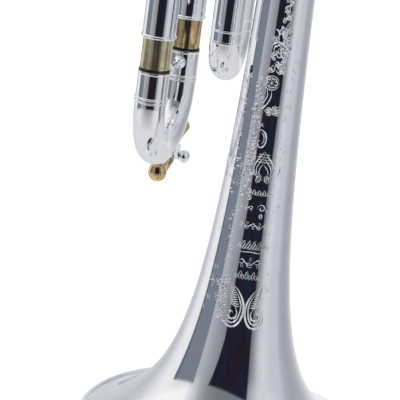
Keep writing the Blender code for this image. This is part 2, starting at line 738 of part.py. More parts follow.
def first_slide(clearance):
    """The first valve's slide, with its thumb saddle."""
    starts = [Vector((VALVE_X, y, VALVE_Z[0])) for y in FIRST_Y]
    valve_sleeves("first_slide_sleeves", starts, UP, FIRST_SLEEVE_END - VALVE_Z[0], clearance, 26.0)
    leg_end = 342.0
    radius = (FIRST_Y[1] - FIRST_Y[0]) / 2
    start = Vector((VALVE_X, FIRST_Y[0], leg_end))
    engaged = FIRST_SLEEVE_END + 0.4 - leg_end
    slide = valve_slide("first_slide_tube", start, UP, BOTTOM, engaged, 5.6, radius, [])
    base = FIRST_Y[0] - CROOK_RADIUS - GAP - 0.7
    wide, corner, arm = 23.0, 5.0, 15.0
    route = Route(Vector((VALVE_X, base - corner - arm, FIRST_SLEEVE_END - 0.5)), BOTTOM, LEFT,
                  [(arm, 0.0), (corner * math.pi / 2, math.pi / 2), (wide - 2 * corner, 0.0),
                   (corner * math.pi / 2, math.pi / 2), (arm, 0.0)])
    length = 2 * arm + corner * math.pi + wide - 2 * corner
    widths = [(0, 8.0), (3, 11.0), (length - 3, 11.0), (length, 8.0)]
    saddle = strip("thumb_saddle", route, widths, 1.4, "silver")
    axis_point("first_slide_axis", start, [slide, saddle])


def second_slide(clearance):
    """The second valve's short slide, with its pull knob."""
    starts = [Vector((VALVE_X, y, VALVE_Z[1])) for y in SECOND_Y]
    valve_sleeves("second_slide_sleeves", starts, RIGHT, VALVE_X - SECOND_SLEEVE_END, clearance, 22.0)
    leg_end = -42.0
    radius = (SECOND_Y[1] - SECOND_Y[0]) / 2
    start = Vector((leg_end, SECOND_Y[0], VALVE_Z[1]))
    exposed = 3.0
    engaged = leg_end - SECOND_SLEEVE_END + 0.4
    slide = valve_slide("second_slide_tube", start, RIGHT, BOTTOM, engaged, exposed, radius, [])
    tip = leg_end - engaged - exposed - radius - CROOK_RADIUS - GAP
    middle = Vector((tip, SECOND_Y[0] + radius, VALVE_Z[1]))
    knob = turned("second_slide_knob", straight(middle, RIGHT, UP),
                  [(0, 2.6), (1.0, 1.8), (2.4, 1.7), (4.0, 3.8), (6.6, 4.2), (8.2, 3.2), (8.8, 1.2)],
                   "silver")
    axis_point("second_slide_axis", start, [slide, knob])


def third_slide(clearance):
    """The third valve's long slide, with its finger ring."""
    starts = [Vector((THIRD_X, y, VALVE_Z[2])) for y in THIRD_Y]
    valve_sleeves("third_slide_sleeves", starts, DOWN, VALVE_Z[2] - THIRD_SLEEVE_END, clearance, 34.0)
    radius = (THIRD_Y[1] - THIRD_Y[0]) / 2
    start = Vector((THIRD_X, THIRD_Y[0], THIRD_LEG_TOP))
    engaged = THIRD_LEG_TOP - THIRD_SLEEVE_END + 0.4
    exposed = THIRD_LEG_TOP - engaged - THIRD_BEND_START
    slide = valve_slide("third_slide_tube", start, DOWN, BOTTOM, engaged, exposed, radius,
                        [0.0, exposed - 4.8, exposed - 0.6])
    ring_radius, ring_bore, ring_width = 12.5, 10.4, 6.0
    edge = ring_radius - 0.5
    hub = Vector((THIRD_X, THIRD_Y[0] - CROOK_RADIUS - GAP - ring_radius, 200.0))
    route = straight(hub - LEFT * ring_width / 2, LEFT, BOTTOM)
    ring = tube("third_slide_ring", route,
                [(0, edge), (1, ring_radius), (ring_width - 1, ring_radius), (ring_width, edge)],
                [(0, ring_bore), (ring_width, ring_bore)], "silver", VALVE_SIDES)
    axis_point("third_slide_axis", start, [slide, ring])


def pinky_hook():
    """The hook for the right little finger, on top of the leadpipe's sleeve."""
    base = LEAD.y - LEG_RADIUS - GAP - 0.8
    radius = 8.0
    route = Route(Vector((LEAD.x, base, 284.0)), DOWN, RIGHT,
                  [(14.0, 0.0), (math.pi * radius, math.pi), (9.0, 0.0)])
    length = 23.0 + math.pi * radius
    widths = [(0, 4.0), (4, 6.0), (20, 8.0), (length - 4, 8.0), (length, 5.0)]
    strip("pinky_hook", route, widths, 1.5, "silver")


def bell_braces():
    """The braces between the bell, the leadpipe and the valves."""
    along = -LEAD.normalized()
    places = (("front_bell_brace", 232.0, SLEEVE_RADIUS, 9.75), ("rear_bell_brace", 353.0, 5.5, 8.45))
    for name, z, pipe, horn in places:
        brace(name, LEAD + UP * z, along, LEAD.length, pipe, horn, 3.3)
    brace("bell_to_valve_brace", Vector((VALVE_X, 0, VALVE_Z[0])), LEFT, -VALVE_X, CASING_RADIUS, 8.7, 3.0)


def valves():
    """The three valves, with everything that stands in or on their casings."""
    clearances = casing_clearances()
    first, second, third = (Vector((VALVE_X, 0, z)) for z in VALVE_Z)
    elbow_end = third + BOTTOM * LOWER.y
    low_knuckle = BOTTOM * KNUCKLE_32_Y
    high_knuckle = BOTTOM * KNUCKLE_21_Y
    lift = TOP * STROKE
    third_ports = [Vector((THIRD_X, y, VALVE_Z[2])) for y in THIRD_Y]
    first_ports = [first + BOTTOM * y for y in FIRST_Y]
    second_ports = [second + BOTTOM * y for y in SECOND_Y]
    casing("first", VALVE_Z[0], [(first + high_knuckle, DOWN), (first + BOTTOM * TAIL.y, UP)]
           + [(port, UP) for port in first_ports])
    casing("second", VALVE_Z[1], [(second + low_knuckle, DOWN), (second + high_knuckle, UP)]
           + [(port, RIGHT) for port in second_ports])
    casing("third", VALVE_Z[2], [(elbow_end, RIGHT), (third + low_knuckle, UP)]
           + [(port, DOWN) for port in third_ports])
    out = PISTON_RADIUS
    piston("first", VALVE_Z[0], [
        (57.0, [first + high_knuckle + DOWN * out, first + BOTTOM * TAIL.y + UP * out]),
        (16.0, [first + high_knuckle + lift + DOWN * out, first_ports[0] + lift + UP * out]),
        (35.0, [first_ports[1] + lift + UP * out, first + BOTTOM * TAIL.y + lift + UP * out])])
    piston("second", VALVE_Z[1], [
        (46.0, [second + low_knuckle + DOWN * out, second + high_knuckle + UP * out]),
        (12.0, [second + low_knuckle + lift + DOWN * out, second_ports[0] + lift + RIGHT * out]),
        (28.0, [second_ports[1] + lift + RIGHT * out, second + high_knuckle + lift + UP * out])])
    piston("third", VALVE_Z[2], [
        (LOWER.y, [elbow_end + RIGHT * out, third + low_knuckle + UP * out]),
        (12.0, [elbow_end + lift + RIGHT * out, third_ports[0] + lift + DOWN * out]),
        (25.0, [third_ports[1] + lift + DOWN * out, third + low_knuckle + lift + UP * out])])
    for name, z in zip(VALVE_NAMES, VALVE_Z):
        caps(name, z)
        valve_guide(name, z)
        valve_spring(name, z)
    knuckle("knuckle_third_to_second", KNUCKLE_32_Y, VALVE_Z[2], VALVE_Z[1], clearances[1:])
    knuckle("knuckle_second_to_first", KNUCKLE_21_Y, VALVE_Z[1], VALVE_Z[0], clearances[:2])
    return clearances


def main():
    """Build the whole trumpet."""
    clear_scene()
    first_clearance, second_clearance, third_clearance = valves()
    bell()
    rim_wire()
    tail_ferrule(first_clearance)
    leadpipe()
    receiver()
    mouthpiece()
    main_sleeves(third_clearance)
    main_slide()
    first_slide(first_clearance)
    second_slide(second_clearance)
    third_slide(third_clearance)
    pinky_hook()
    bell_braces()


main()
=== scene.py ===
"""The looks of a silver-plated B-flat trumpet that stands on its bell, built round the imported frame.

Sizes are in millimetres, measured from the centre of the bell's mouth, and are turned into metres
where a mesh is written. +Z runs up the bell's axis, -Y is the side of the valve buttons and -X is
the player's right.
"""

import math

import bmesh
import bpy
import numpy as np
from mathutils import Matrix, Vector


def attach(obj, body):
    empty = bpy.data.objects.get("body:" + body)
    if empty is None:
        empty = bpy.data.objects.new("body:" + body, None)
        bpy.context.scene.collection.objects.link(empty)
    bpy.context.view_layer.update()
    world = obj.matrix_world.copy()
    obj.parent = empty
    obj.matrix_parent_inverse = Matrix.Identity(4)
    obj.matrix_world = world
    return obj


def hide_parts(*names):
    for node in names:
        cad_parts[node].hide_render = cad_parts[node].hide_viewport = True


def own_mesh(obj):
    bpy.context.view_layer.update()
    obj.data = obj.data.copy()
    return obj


MM = 0.001
BELL_PLACE = Vector((13.6, -13.15, 0.0))

UP = Vector((0, 0, 1))
DOWN = Vector((0, 0, -1))
RIGHT = Vector((-1, 0, 0))
LEFT = Vector((1, 0, 0))
TOP = Vector((0, -1, 0))
BOTTOM = Vector((0, 1, 0))

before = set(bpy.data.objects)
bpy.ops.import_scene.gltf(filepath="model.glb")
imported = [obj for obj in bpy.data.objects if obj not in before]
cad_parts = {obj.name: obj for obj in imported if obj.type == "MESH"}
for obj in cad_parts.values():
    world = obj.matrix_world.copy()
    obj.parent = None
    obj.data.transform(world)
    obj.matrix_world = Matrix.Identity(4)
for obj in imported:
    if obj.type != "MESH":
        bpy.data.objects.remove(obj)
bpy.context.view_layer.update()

# Bell: the back surface's radius at each height, smoothed where it is read
BELL_OUTLINE = [
    (0.9, 57.0), (2.2, 53.0), (4.0, 49.2), (6.8, 45.2), (10.0, 41.6), (15.0, 36.6), (20.0, 32.6),
    (26.0, 28.9), (32.0, 26.1), (48.0, 20.9), (70.0, 17.4), (100.0, 14.6), (140.0, 12.3),
    (190.0, 10.5), (240.0, 9.6), (320.0, 8.7), (392.0, 8.0),
]
BELL_WALL = 0.7
RIM_RADIUS = 59.5
RIM_HEIGHT = 1.6
CHANNEL_RADIUS = 0.54
BOW_START = 392.0
TAIL = Vector((-27.0, 62.0, 0.0))
TAIL_END = 341.0
TAIL_RADIUS = 6.3
BOW_END_RADIUS = 7.0
BELL_SIDES = 160

LEG_RADIUS = 5.85
LEG_BORE = 5.35
SLEEVE_RADIUS = 6.45
SLEEVE_BORE = 6.15
CROOK_RADIUS = 6.2
CROOK_BORE = 5.5

LEAD = Vector((-45.65, -4.8, 0.0))
LOWER = Vector((-42.2, 40.4, 0.0))
LEADPIPE_START = 241.0
RECEIVER_START = 446.0
MOUTHPIECE_START = 459.0
UPPER_SLEEVE_TOP = 252.0
LOWER_SLEEVE_TOP = 254.7
MAIN_SLEEVE_END = 157.0
MAIN_LEG_TOP = 222.0
SLIDE_TOP = 143.8
FERRULE_LENGTH = 12.4
BEND_START = 130.0
# Round the bend from its lowest point: the drain hole, the screw, the touch plate and the lever's end
KEY_ANGLES = (5, 28.5, 54, 62)

VALVE_X = -27.0
VALVE_Z = (324.0, 297.0, 270.0)
CASING_TOP = -36.0
CASING_END = 82.0
CASING_RADIUS = 9.9
CASING_BORE = 8.6
CAP_TOP = -40.5
CAP_RADIUS = 11.4
CAP_BORE = 10.75
BOTTOM_CAP_END = 90.0
BUTTON_TOP = -63.2
STROKE = 17.0
PORT_BORE = 5.6
LOW_KNUCKLE_Y = 40.4
HIGH_KNUCKLE_Y = 52.0
ELBOW_START = 255.0

FIRST_Y = (18.0, 42.0)
SECOND_Y = (18.0, 38.0)
SECOND_LEG_X = -42.0
THIRD_Y = (17.7, 43.7)
THIRD_X = -23.0
THIRD_SLEEVE_END = 214.6
THIRD_LEG_TOP = 254.0
THIRD_BEND_START = 155.6

FINE = 64
SMALL = 32
ARC = math.radians(4)


# Materials

def nodes_of(material):
    material.use_nodes = True
    tree = material.node_tree
    return tree, tree.nodes["Principled BSDF"]


def noise(tree, scale, detail=2.0, stretch=None):
    """A noise texture in the object's own space; stretch draws it out along the axes."""
    coord = tree.nodes.new("ShaderNodeTexCoord")
    texture = tree.nodes.new("ShaderNodeTexNoise")
    texture.inputs["Scale"].default_value = scale
    texture.inputs["Detail"].default_value = detail
    source = coord.outputs["Object"]
    if stretch:
        mapping = tree.nodes.new("ShaderNodeMapping")
        mapping.inputs["Scale"].default_value = stretch
        tree.links.new(source, mapping.inputs["Vector"])
        source = mapping.outputs["Vector"]
    tree.links.new(source, texture.inputs["Vector"])
    return texture.outputs["Fac"]


def ramp(tree, source, stops, interpolation="LINEAR"):
    """A colour ramp from (place, colour) stops."""
    node = tree.nodes.new("ShaderNodeValToRGB")
    node.color_ramp.interpolation = interpolation
    while len(node.color_ramp.elements) < len(stops):
        node.color_ramp.elements.new(0.5)
    for element, (place, colour) in zip(node.color_ramp.elements, stops):
        element.position = place
        element.color = (*colour, 1.0)
    tree.links.new(source, node.inputs["Fac"])
    return node.outputs["Color"]


def spread(tree, source, low, high):
    """Map a 0 to 1 value to a range."""
    node = tree.nodes.new("ShaderNodeMapRange")
    node.inputs["From Min"].default_value = 0.3
    node.inputs["From Max"].default_value = 0.7
    node.inputs["To Min"].default_value = low
    node.inputs["To Max"].default_value = high
    tree.links.new(source, node.inputs["Value"])
    return node.outputs["Result"]


def bump(tree, shader, source, strength, distance):
    node = tree.nodes.new("ShaderNodeBump")
    node.inputs["Strength"].default_value = strength
    node.inputs["Distance"].default_value = distance
    tree.links.new(source, node.inputs["Height"])
    tree.links.new(node.outputs["Normal"], shader.inputs["Normal"])


def metal(name, light, dark, roughness, stain=140.0, grain=(1.0, 1.0, 1.0), scratch=0.02):
    """A polished or drawn metal: colour clouded by handling, gloss broken by fine wear."""
    material = bpy.data.materials.new(name)
    tree, shader = nodes_of(material)
    shader.inputs["Metallic"].default_value = 1.0
    clouds = noise(tree, stain, 3.0)
    tree.links.new(ramp(tree, clouds, [(0.35, dark), (0.62, light)]), shader.inputs["Base Color"])
    wear = noise(tree, 900.0, 4.0, grain)
    tree.links.new(spread(tree, wear, *roughness), shader.inputs["Roughness"])
    bump(tree, shader, wear, scratch, 0.00002)
    return material


def plain(name, light, dark, roughness, scale, depth, sheen=0.0, coat=0.0):
    """A matt or glossy non-metal with mottled colour and its own surface."""
    material = bpy.data.materials.new(name)
    tree, shader = nodes_of(material)
    grain = noise(tree, scale, 6.0)
    tree.links.new(ramp(tree, grain, [(0.3, dark), (0.7, light)]), shader.inputs["Base Color"])
    tree.links.new(spread(tree, grain, *roughness), shader.inputs["Roughness"])
    shader.inputs["Sheen Weight"].default_value = sheen
    shader.inputs["Coat Weight"].default_value = coat
    bump(tree, shader, grain, 0.4, depth)
    return material


ALONG_Z = (1.0, 1.0, 0.05)
ALONG_Y = (1.0, 0.05, 1.0)

SILVER = metal("silver_plate_polished", (0.97, 0.97, 0.98), (0.93, 0.93, 0.95), (0.035, 0.07),
               scratch=0.015)
BRASS = metal("bare_brass_drawn", (0.75, 0.65, 0.41), (0.58, 0.49, 0.30), (0.17, 0.27), 220.0, ALONG_Z,
              0.12)
# a darker, more orange copy of the legs' brass for the lower leg: painted shade on the same brass, not
# handling
BRASS_SHADED = metal("bare_brass_shaded_copy", (0.80, 0.60, 0.33), (0.58, 0.40, 0.19), (0.13, 0.23), 240.0,
                   ALONG_Z, 0.12)
# near-black brass for the thin ring where each slide leg enters its ferrule: painted shade of the ferrule's
# lip, not tarnish
PAINTED_SHADE_BRASS = metal("bare_brass_painted_shade", (0.10, 0.085, 0.07), (0.04, 0.035, 0.03), (0.35, 0.55), 500.0,
              scratch=0.2)
GOLD = metal("gold_plate_polished", (0.89, 0.69, 0.37), (0.72, 0.51, 0.25), (0.08, 0.20), 260.0,
             scratch=0.05)
STEEL = metal("spring_steel_wire", (0.55, 0.55, 0.56), (0.40, 0.40, 0.42), (0.22, 0.35), 500.0,
              scratch=0.10)
PISTON = metal("piston_metal_lapped", (0.66, 0.66, 0.67), (0.55, 0.55, 0.57), (0.20, 0.34), 300.0,
               ALONG_Y, 0.10)
NYLON = plain("guide_nylon_moulded", (0.86, 0.85, 0.80), (0.78, 0.77, 0.72), (0.40, 0.50), 900.0,
              0.00002)
CORK = plain("cork_cut", (0.58, 0.40, 0.24), (0.28, 0.16, 0.08), (0.80, 0.95), 1400.0, 0.0002)
FELT = plain("felt_pressed", (0.16, 0.16, 0.17), (0.08, 0.08, 0.09), (0.90, 1.0), 2500.0, 0.0002,
             sheen=0.6)
PEARL = plain("pearl_polished", (0.93, 0.92, 0.90), (0.78, 0.80, 0.84), (0.10, 0.22), 420.0, 0.00002,
              coat=0.5)


# Meshes

class Route:
    """A centre line in one plane, made of straight runs and arcs and read by its distance along."""

    def __init__(self, start, heading, side, runs):
        self.start = Vector(start)
        self.heading = heading.normalized()
        self.side = side.normalized()
        self.runs = runs

    def at(self, distance):
        """The point and the heading at a distance from the start."""
        point = self.start.copy()
        heading = self.heading.copy()
        for length, turn in self.runs:
            step = min(distance, length)
            if turn:
                radius = length / turn
                centre = point + radius * self.side.cross(heading)
                spin = Matrix.Rotation(step / radius, 3, self.side)
                point = centre + spin @ (point - centre)
                heading = spin @ heading
            else:
                point = point + heading * step
            distance -= step
            if distance <= 1e-9:
                return point, heading
        return point + heading * distance, heading

    def stops(self):
        """Distances at steps round each arc, and just before and after it, where the tube is straight."""
        found = []
        passed = 0.0
        for length, turn in self.runs:
            if turn:
                steps = max(2, round(abs(turn) / ARC))
                found += [passed - 0.5, passed + length + 0.5]
                found += [passed + length * i / steps for i in range(steps + 1)]
            passed += length
        return found


def straight(start, heading, side):
    return Route(start, heading, side, [(1000.0, 0.0)])


def bow(start, heading, toward, before, radius, after):
    """A route that runs straight, turns back on itself toward a direction, and runs straight."""
    side = heading.cross(toward)
    return Route(start, heading, side, [(before, 0.0), (math.pi * radius, math.pi), (after, 0.0)])


def rounded(outline, size, closed=True):
    """An outline with its corners rounded and a point just beyond each, so that flats shade flat."""
    points = [np.array(p, float) for p in outline]
    count = len(points)
    found = []
    for i, p in enumerate(points):
        if not closed and i in (0, count - 1):
            found.append(tuple(p))
            continue
        a, b = points[i - 1] - p, points[(i + 1) % count] - p
        la, lb = np.linalg.norm(a), np.linalg.norm(b)
        if la < 1e-6 or lb < 1e-6:
            continue
        a, b = a / la, b / lb
        if a @ b < -0.985:
            found.append(tuple(p))
            continue
        d = min(size, 0.42 * la, 0.42 * lb)
        if la > 4 * d:
            found.append(tuple(p + a * d * 1.35))
        for t in (0.0, 0.25, 0.5, 0.75, 1.0):
            found.append(tuple(p + a * d * (1 - t) ** 2 + b * d * t ** 2))
        if lb > 4 * d:
            found.append(tuple(p + b * d * 1.35))
    return found


def spline(a, b, c, d, t):
    """A share t of the way along the curve from b to c that leads on from a and to d."""
    return 0.5 * (2 * b + (c - a) * t + (2 * a - 5 * b + 4 * c - d) * t * t
                  + (3 * b - a - 3 * c + d) * t ** 3)


def smoothed(outline, steps=6):
    """A curve through an outline's points."""
    points = [np.array(p, float) for p in outline]
    points = [2 * points[0] - points[1], *points, 2 * points[-1] - points[-2]]
    found = []
    for four in zip(points, points[1:], points[2:], points[3:]):
        found += [tuple(spline(*four, i / steps)) for i in range(steps)]
    return found + [tuple(points[-2])]


def with_stops(outline, stops):
    """An outline of (distance, radius) with a point added at each stop between its ends."""
    filled = [outline[0]]
    for (s0, r0), (s1, r1) in zip(outline, outline[1:]):
        low, high = min(s0, s1), max(s0, s1)
        inside = sorted((s for s in stops if low + 0.02 < s < high - 0.02), reverse=bool(s1 < s0))
        filled += [(s, r0 + (r1 - r0) * (s - s0) / (s1 - s0)) for s in inside]
        filled.append((s1, r1))
    return filled


def mirrored(outline, length):
    """Half an outline and its mirror image, for a piece of a given length."""
    return outline + [(length - s, r) for s, r in outline[::-1]]


def circle(point, heading, side, radius, sides, knurl=None):
    """A ring of points round a heading; knurl is the count and the depth of the ridges round it."""
    across = heading.cross(side)
    found = []
    for i in range(sides):
        a = 2 * math.pi * i / sides
        r = float(radius)
        if knurl:
            r -= knurl[1] * (0.5 - 0.5 * math.cos(knurl[0] * a))
        found.append(point + r * (math.cos(a) * side + math.sin(a) * across))
    return found


def body_mesh(name, rings, closed):
    """A mesh whose surface runs from ring to ring; closed joins the last ring to the first."""
    mesh = bpy.data.meshes.new(name)
    build = bmesh.new()
    loops = [[build.verts.new((co + BELL_PLACE) * MM) for co in ring] for ring in rings]
    pairs = list(zip(loops, loops[1:]))
    if closed:
        pairs.append((loops[-1], loops[0]))
    else:
        build.faces.new(loops[0])
        build.faces.new(loops[-1])
    for one, two in pairs:
        for i in range(len(one)):
            j = (i + 1) % len(one)
            build.faces.new((one[i], one[j], two[j], two[i]))
    bmesh.ops.recalc_face_normals(build, faces=build.faces)
    build.to_mesh(mesh)
    build.free()
    return mesh


def shade(mesh, angle=38):
    mesh.shade_smooth()
    mesh.set_sharp_from_angle(angle=math.radians(angle))


def shape(name, rings, closed=False, angle=38):
    """A loose object made of rings."""
    mesh = body_mesh(name, rings, closed)
    shade(mesh, angle)
    obj = bpy.data.objects.new(name, mesh)
    bpy.context.scene.collection.objects.link(obj)
    return obj


def loft(name, route, outline, sides, closed, knurl=None):
    """A surface of rings along a route; knurl adds where its ridges start, end and how far out they are."""
    rings = []
    for distance, radius in outline:
        point, heading = route.at(distance)
        ridges = knurl if knurl and knurl[2] < distance < knurl[3] and radius > knurl[4] else None
        rings.append(circle(point, heading, route.side, radius, sides, ridges))
    return shape(name, rings, closed)


def pipe(name, route, outer, inner, sides=FINE, edge=0.15, knurl=None):
    """A pipe along a route, from its outer and inner (distance, radius) outlines, edges rounded."""
    loop = rounded(list(outer) + list(inner)[::-1], edge)
    return loft(name, route, with_stops(loop + [loop[0]], route.stops())[:-1], sides, True, knurl)


def turned(name, route, outer, sides=SMALL, edge=0.12):
    """A solid turned piece along a route."""
    loop = rounded([(outer[0][0], 0.02), *outer, (outer[-1][0], 0.02)], edge, closed=False)
    return loft(name, route, loop, sides, False)


def strip(name, route, widths, thickness, crown=0.0, edge=0.35):
    """A strip along a route with rounded edges; crown raises its middle."""
    rings = []
    total = widths[-1][0]
    places, sizes = zip(*smoothed(widths, 4))
    stations = sorted({*places, *(s for s in route.stops() if 0 < s < total),
                       *(total * i / 40 for i in range(41))})
    for distance in stations:
        width = float(np.interp(distance, places, sizes))
        end = min(distance, total - distance)
        if end < width / 2:
            inset = width / 2 - end
            width = max(2 * math.sqrt(max((width / 2) ** 2 - inset ** 2, 0.0)), thickness * 0.5)
        point, heading = route.at(distance)
        rise = heading.cross(route.side)
        half, deep = width / 2, thickness / 2
        r = min(edge, deep * 0.9, half * 0.9)
        section = []
        for cx, cy, start in ((half - r, deep - r, 0), (-half + r, deep - r, 90),
                              (-half + r, -deep + r, 180), (half - r, -deep + r, 270)):
            for k in range(4):
                a = math.radians(start + 30 * k)
                section.append((cx + r * math.cos(a), cy + r * math.sin(a)))
        rings.append([point + route.side * x + rise * (y + crown * (1 - (x / half) ** 2))
                      for x, y in section])
    return shape(name, rings)


def rod(name, start, end, radius, sides=FINE):
    """A solid rod between two points, for joining or cutting."""
    heading = (end - start).normalized()
    side = heading.orthogonal().normalized()
    return shape(name, [circle(p, heading, side, radius, sides) for p in (start, end)])


def bake(obj):
    """Turn an object's modifiers into its mesh."""
    bpy.context.view_layer.update()
    mesh = bpy.data.meshes.new_from_object(obj.evaluated_get(bpy.context.evaluated_depsgraph_get()))
    obj.modifiers.clear()
    obj.data = mesh
    shade(mesh)
    return obj


def blend_solids(obj, operation, others):
    """Join or cut with other objects, exactly."""
    for other in others:
        modifier = obj.modifiers.new(operation.lower(), "BOOLEAN")
        modifier.operation = operation
        modifier.object = other
        modifier.solver = "EXACT"
    bake(obj)
    for other in others:
        bpy.data.objects.remove(other)
    return obj


def cut(obj, *others):
    return blend_solids(obj, "DIFFERENCE", others)


def join(obj, *others):
    return blend_solids(obj, "UNION", others)


def beveled(obj, width, segments=3):
    """Round an object's edges."""
    modifier = obj.modifiers.new("bevel", "BEVEL")
    modifier.width = width * MM
    modifier.segments = segments
    modifier.limit_method = "ANGLE"
    modifier.harden_normals = False
    return bake(obj)


def prism(name, outline, start, along):
    return shape(name, [[p + start for p in outline], [p + start + along for p in outline]])


def put(obj, material, slot, body, *nodes):
    """Finish a piece: its material, its body, and what it stands for; slot is not used."""
    obj.data.materials.clear()
    obj.data.materials.append(material)
    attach(obj, body)
    if nodes:
        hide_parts(*nodes)
    return obj


def silver(obj, body, *nodes):
    return put(obj, SILVER, "silver_plate", body, *nodes)


def upright(place, z):
    """A route up from a height on a tube's axis."""
    return straight(place + UP * z, UP, LEFT)


def at_valve(z, y=0.0):
    """A point on a valve's axis."""
    return Vector((VALVE_X, y, z))


def down_valve(z, y):
    """A route along a valve's axis toward its bottom cap."""
    return straight(at_valve(z, y), BOTTOM, LEFT)


# The bell

BELL_FIT = np.polyfit(np.log([z + 3 for z, _ in BELL_OUTLINE]), np.log([r for _, r in BELL_OUTLINE]), 6)


def bell_radius(z):
    """The back surface's radius at a height, on one smooth curve."""
    return float(np.exp(np.polyval(BELL_FIT, math.log(z + 3))))


def bell():
    """The bell with its bow: one tube whose rim is rolled round the rim wire."""
    toward = TAIL.normalized()
    side = UP.cross(toward)
    turn = math.pi * TAIL.length / 2
    end = BOW_START + turn + BOW_START - TAIL_END
    route = Route((0, 0, 0), UP, side, [(BOW_START, 0.0), (turn, math.pi), (BOW_START - TAIL_END, 0.0)])
    lowest = BELL_OUTLINE[0][0]
    heights = np.exp(np.linspace(math.log(lowest + 3), math.log(BOW_START + 3), 150)) - 3
    back = [(float(z), bell_radius(z)) for z in heights]
    top = back[-1][1]
    back += [(BOW_START + turn * i / 45, top + (BOW_END_RADIUS - top) * i / 45) for i in range(1, 46)]
    back += [(end - 14, TAIL_RADIUS), (end, TAIL_RADIUS)]
    mouth = []
    for i, (s, r) in enumerate(back):
        a, b = back[max(i - 1, 0)], back[min(i + 1, len(back) - 1)]
        ds, dr = b[0] - a[0], b[1] - a[1]
        size = math.hypot(ds, dr)
        keep = 0.0 if i == len(back) - 1 else 1.0
        mouth.append((s + BELL_WALL * dr / size * keep, r - BELL_WALL * ds / size))
    half = RIM_HEIGHT / 2
    turns = [math.radians(-90 + 11 * i) for i in range(28)]
    channel, roll = ([(half + size * math.sin(a), RIM_RADIUS - half + size * math.cos(a)) for a in turns]
                     for size in (CHANNEL_RADIUS, half))
    rings = []
    for distance, ring_radius in back[::-1] + channel + roll[::-1] + mouth:
        point, heading = route.at(distance)
        if distance < BOW_START:
            point, heading = Vector((0, 0, distance)), UP
        rings.append(circle(point, heading, side, ring_radius, BELL_SIDES))
    return silver(shape("bell_spun", rings, True), "trumpet", "bell")


# Tubes

def ring_bead(at, tube_radius, height=0.45, length=1.4):
    """The outline of a half-round ring that starts at a distance along a tube."""
    steps = [(at + length * i / 8, tube_radius + height * math.sin(math.pi * i / 8) ** 0.6)
             for i in range(1, 8)]
    return [(at, tube_radius), *steps, (at + length, tube_radius)]


def casing_rod(z):
    """A rod along a valve's axis that trims whatever is fitted to its casing."""
    return rod("trim", at_valve(z, CASING_TOP - 10), at_valve(z, CASING_END + 10), CASING_RADIUS - 0.3)


def fixed_tubes():
    """The leadpipe, the receiver, the main sleeves, the elbow, the tail's collar and the knuckles."""
    silver(pipe("leadpipe_tapered", upright(LEAD, LEADPIPE_START),
                [(0, LEG_RADIUS), (15, LEG_RADIUS), (215, 5.1)],
                [(0, LEG_BORE), (15, LEG_BORE), (215, 4.4)]), "trumpet", "leadpipe")
    outer = [(0, 6.0), (0.8, 6.7), (2.6, 6.7), (3.6, 6.1)]
    outer += smoothed([(5, 6.1), (18, 6.15), (25, 6.4), (28, 7.0), (30, 7.3), (35, 7.5)]) + [(37, 7.2)]
    silver(pipe("mouthpiece_receiver_turned", upright(LEAD, RECEIVER_START), outer,
                [(0, 5.45), (10.3, 5.45), (10.3, 5.1), (37, 5.5)], edge=0.3),
           "trumpet", "mouthpiece_receiver")
    for name, place, top in (("upper", LEAD, UPPER_SLEEVE_TOP), ("lower", LOWER, LOWER_SLEEVE_TOP)):
        length = top - MAIN_SLEEVE_END
        outer = [(0, SLEEVE_RADIUS), *ring_bead(0.05, SLEEVE_RADIUS)[1:], (length, SLEEVE_RADIUS)]
        silver(pipe(f"main_slide_{name}_sleeve_tube", upright(place, MAIN_SLEEVE_END), outer,
                    [(0, SLEEVE_BORE), (length, SLEEVE_BORE)], edge=0.1),
               "trumpet", f"main_slide_{name}_sleeve")
    reach = 8.0
    rise = VALVE_Z[2] - reach - ELBOW_START
    sideways = VALVE_X - LOWER.x - reach
    quarter = reach * math.pi / 2
    end = rise + quarter + sideways
    route = Route(LOWER + UP * ELBOW_START, UP, BOTTOM,
                  [(rise, 0.0), (quarter, math.pi / 2), (sideways, 0.0)])
    elbow = pipe("third_valve_elbow_bent", route,
                 ring_bead(0.05, SLEEVE_RADIUS, 0.35, 1.2) + [(end, SLEEVE_RADIUS)],
                 [(0, PORT_BORE), (end, PORT_BORE)])
    silver(cut(elbow, casing_rod(VALVE_Z[2])), "trumpet", "third_valve_elbow")
    collar = pipe("bell_tail_collar", upright(TAIL, VALVE_Z[0]),
                  [(0, 7.5), (24.0, 7.5)] + ring_bead(25.9, 7.5, 0.5)[1:],
                  [(0, PORT_BORE), (16.7, PORT_BORE), (16.7, 6.8), (27.3, 6.8)])
    silver(cut(collar, casing_rod(VALVE_Z[0])), "trumpet", "bell_tail_ferrule")
    for name, y, low, high in (("knuckle_third_to_second", LOW_KNUCKLE_Y, VALVE_Z[2], VALVE_Z[1]),
                               ("knuckle_second_to_first", HIGH_KNUCKLE_Y, VALVE_Z[1], VALVE_Z[0])):
        length = high - low
        piece = pipe(f"{name}_tube", straight(at_valve(low, y), UP, LEFT),
                     [(0, SLEEVE_RADIUS), (length, SLEEVE_RADIUS)], [(0, PORT_BORE), (length, PORT_BORE)])
        silver(cut(piece, casing_rod(low), casing_rod(high)), "trumpet", name)


def mouthpiece():
    """A cup mouthpiece with its tapered shank, its turned blank and a rounded rim."""
    outer = [(0, 4.75), (24, 5.15)] + smoothed([(26, 5.2), (34, 5.5), (41, 6.0), (44.5, 6.5)])
    outer += [(45.2, 7.1), (49.2, 7.1)]
    outer += smoothed([(50, 6.6), (54, 6.6), (60, 8.0), (67, 10.5), (74, 12.0), (80, 12.7), (82, 13.1)])
    outer += smoothed([(83, 13.4), (85, 13.5), (86.8, 13.1), (87.8, 12.0), (88, 11.0)], 5)
    inner = [(0, 4.1), (40, 3.0), (60, 2.2), (68, 1.85)]
    inner += smoothed([(71, 1.9), (73, 2.4), (76, 4.6), (80, 6.8), (84, 7.8), (86.2, 8.3), (87.5, 9.2),
                       (88, 10.2)])
    silver(pipe("mouthpiece_turned", upright(LEAD, MOUTHPIECE_START), outer, inner, 80, 0.12),
           "mouthpiece", "mouthpiece")


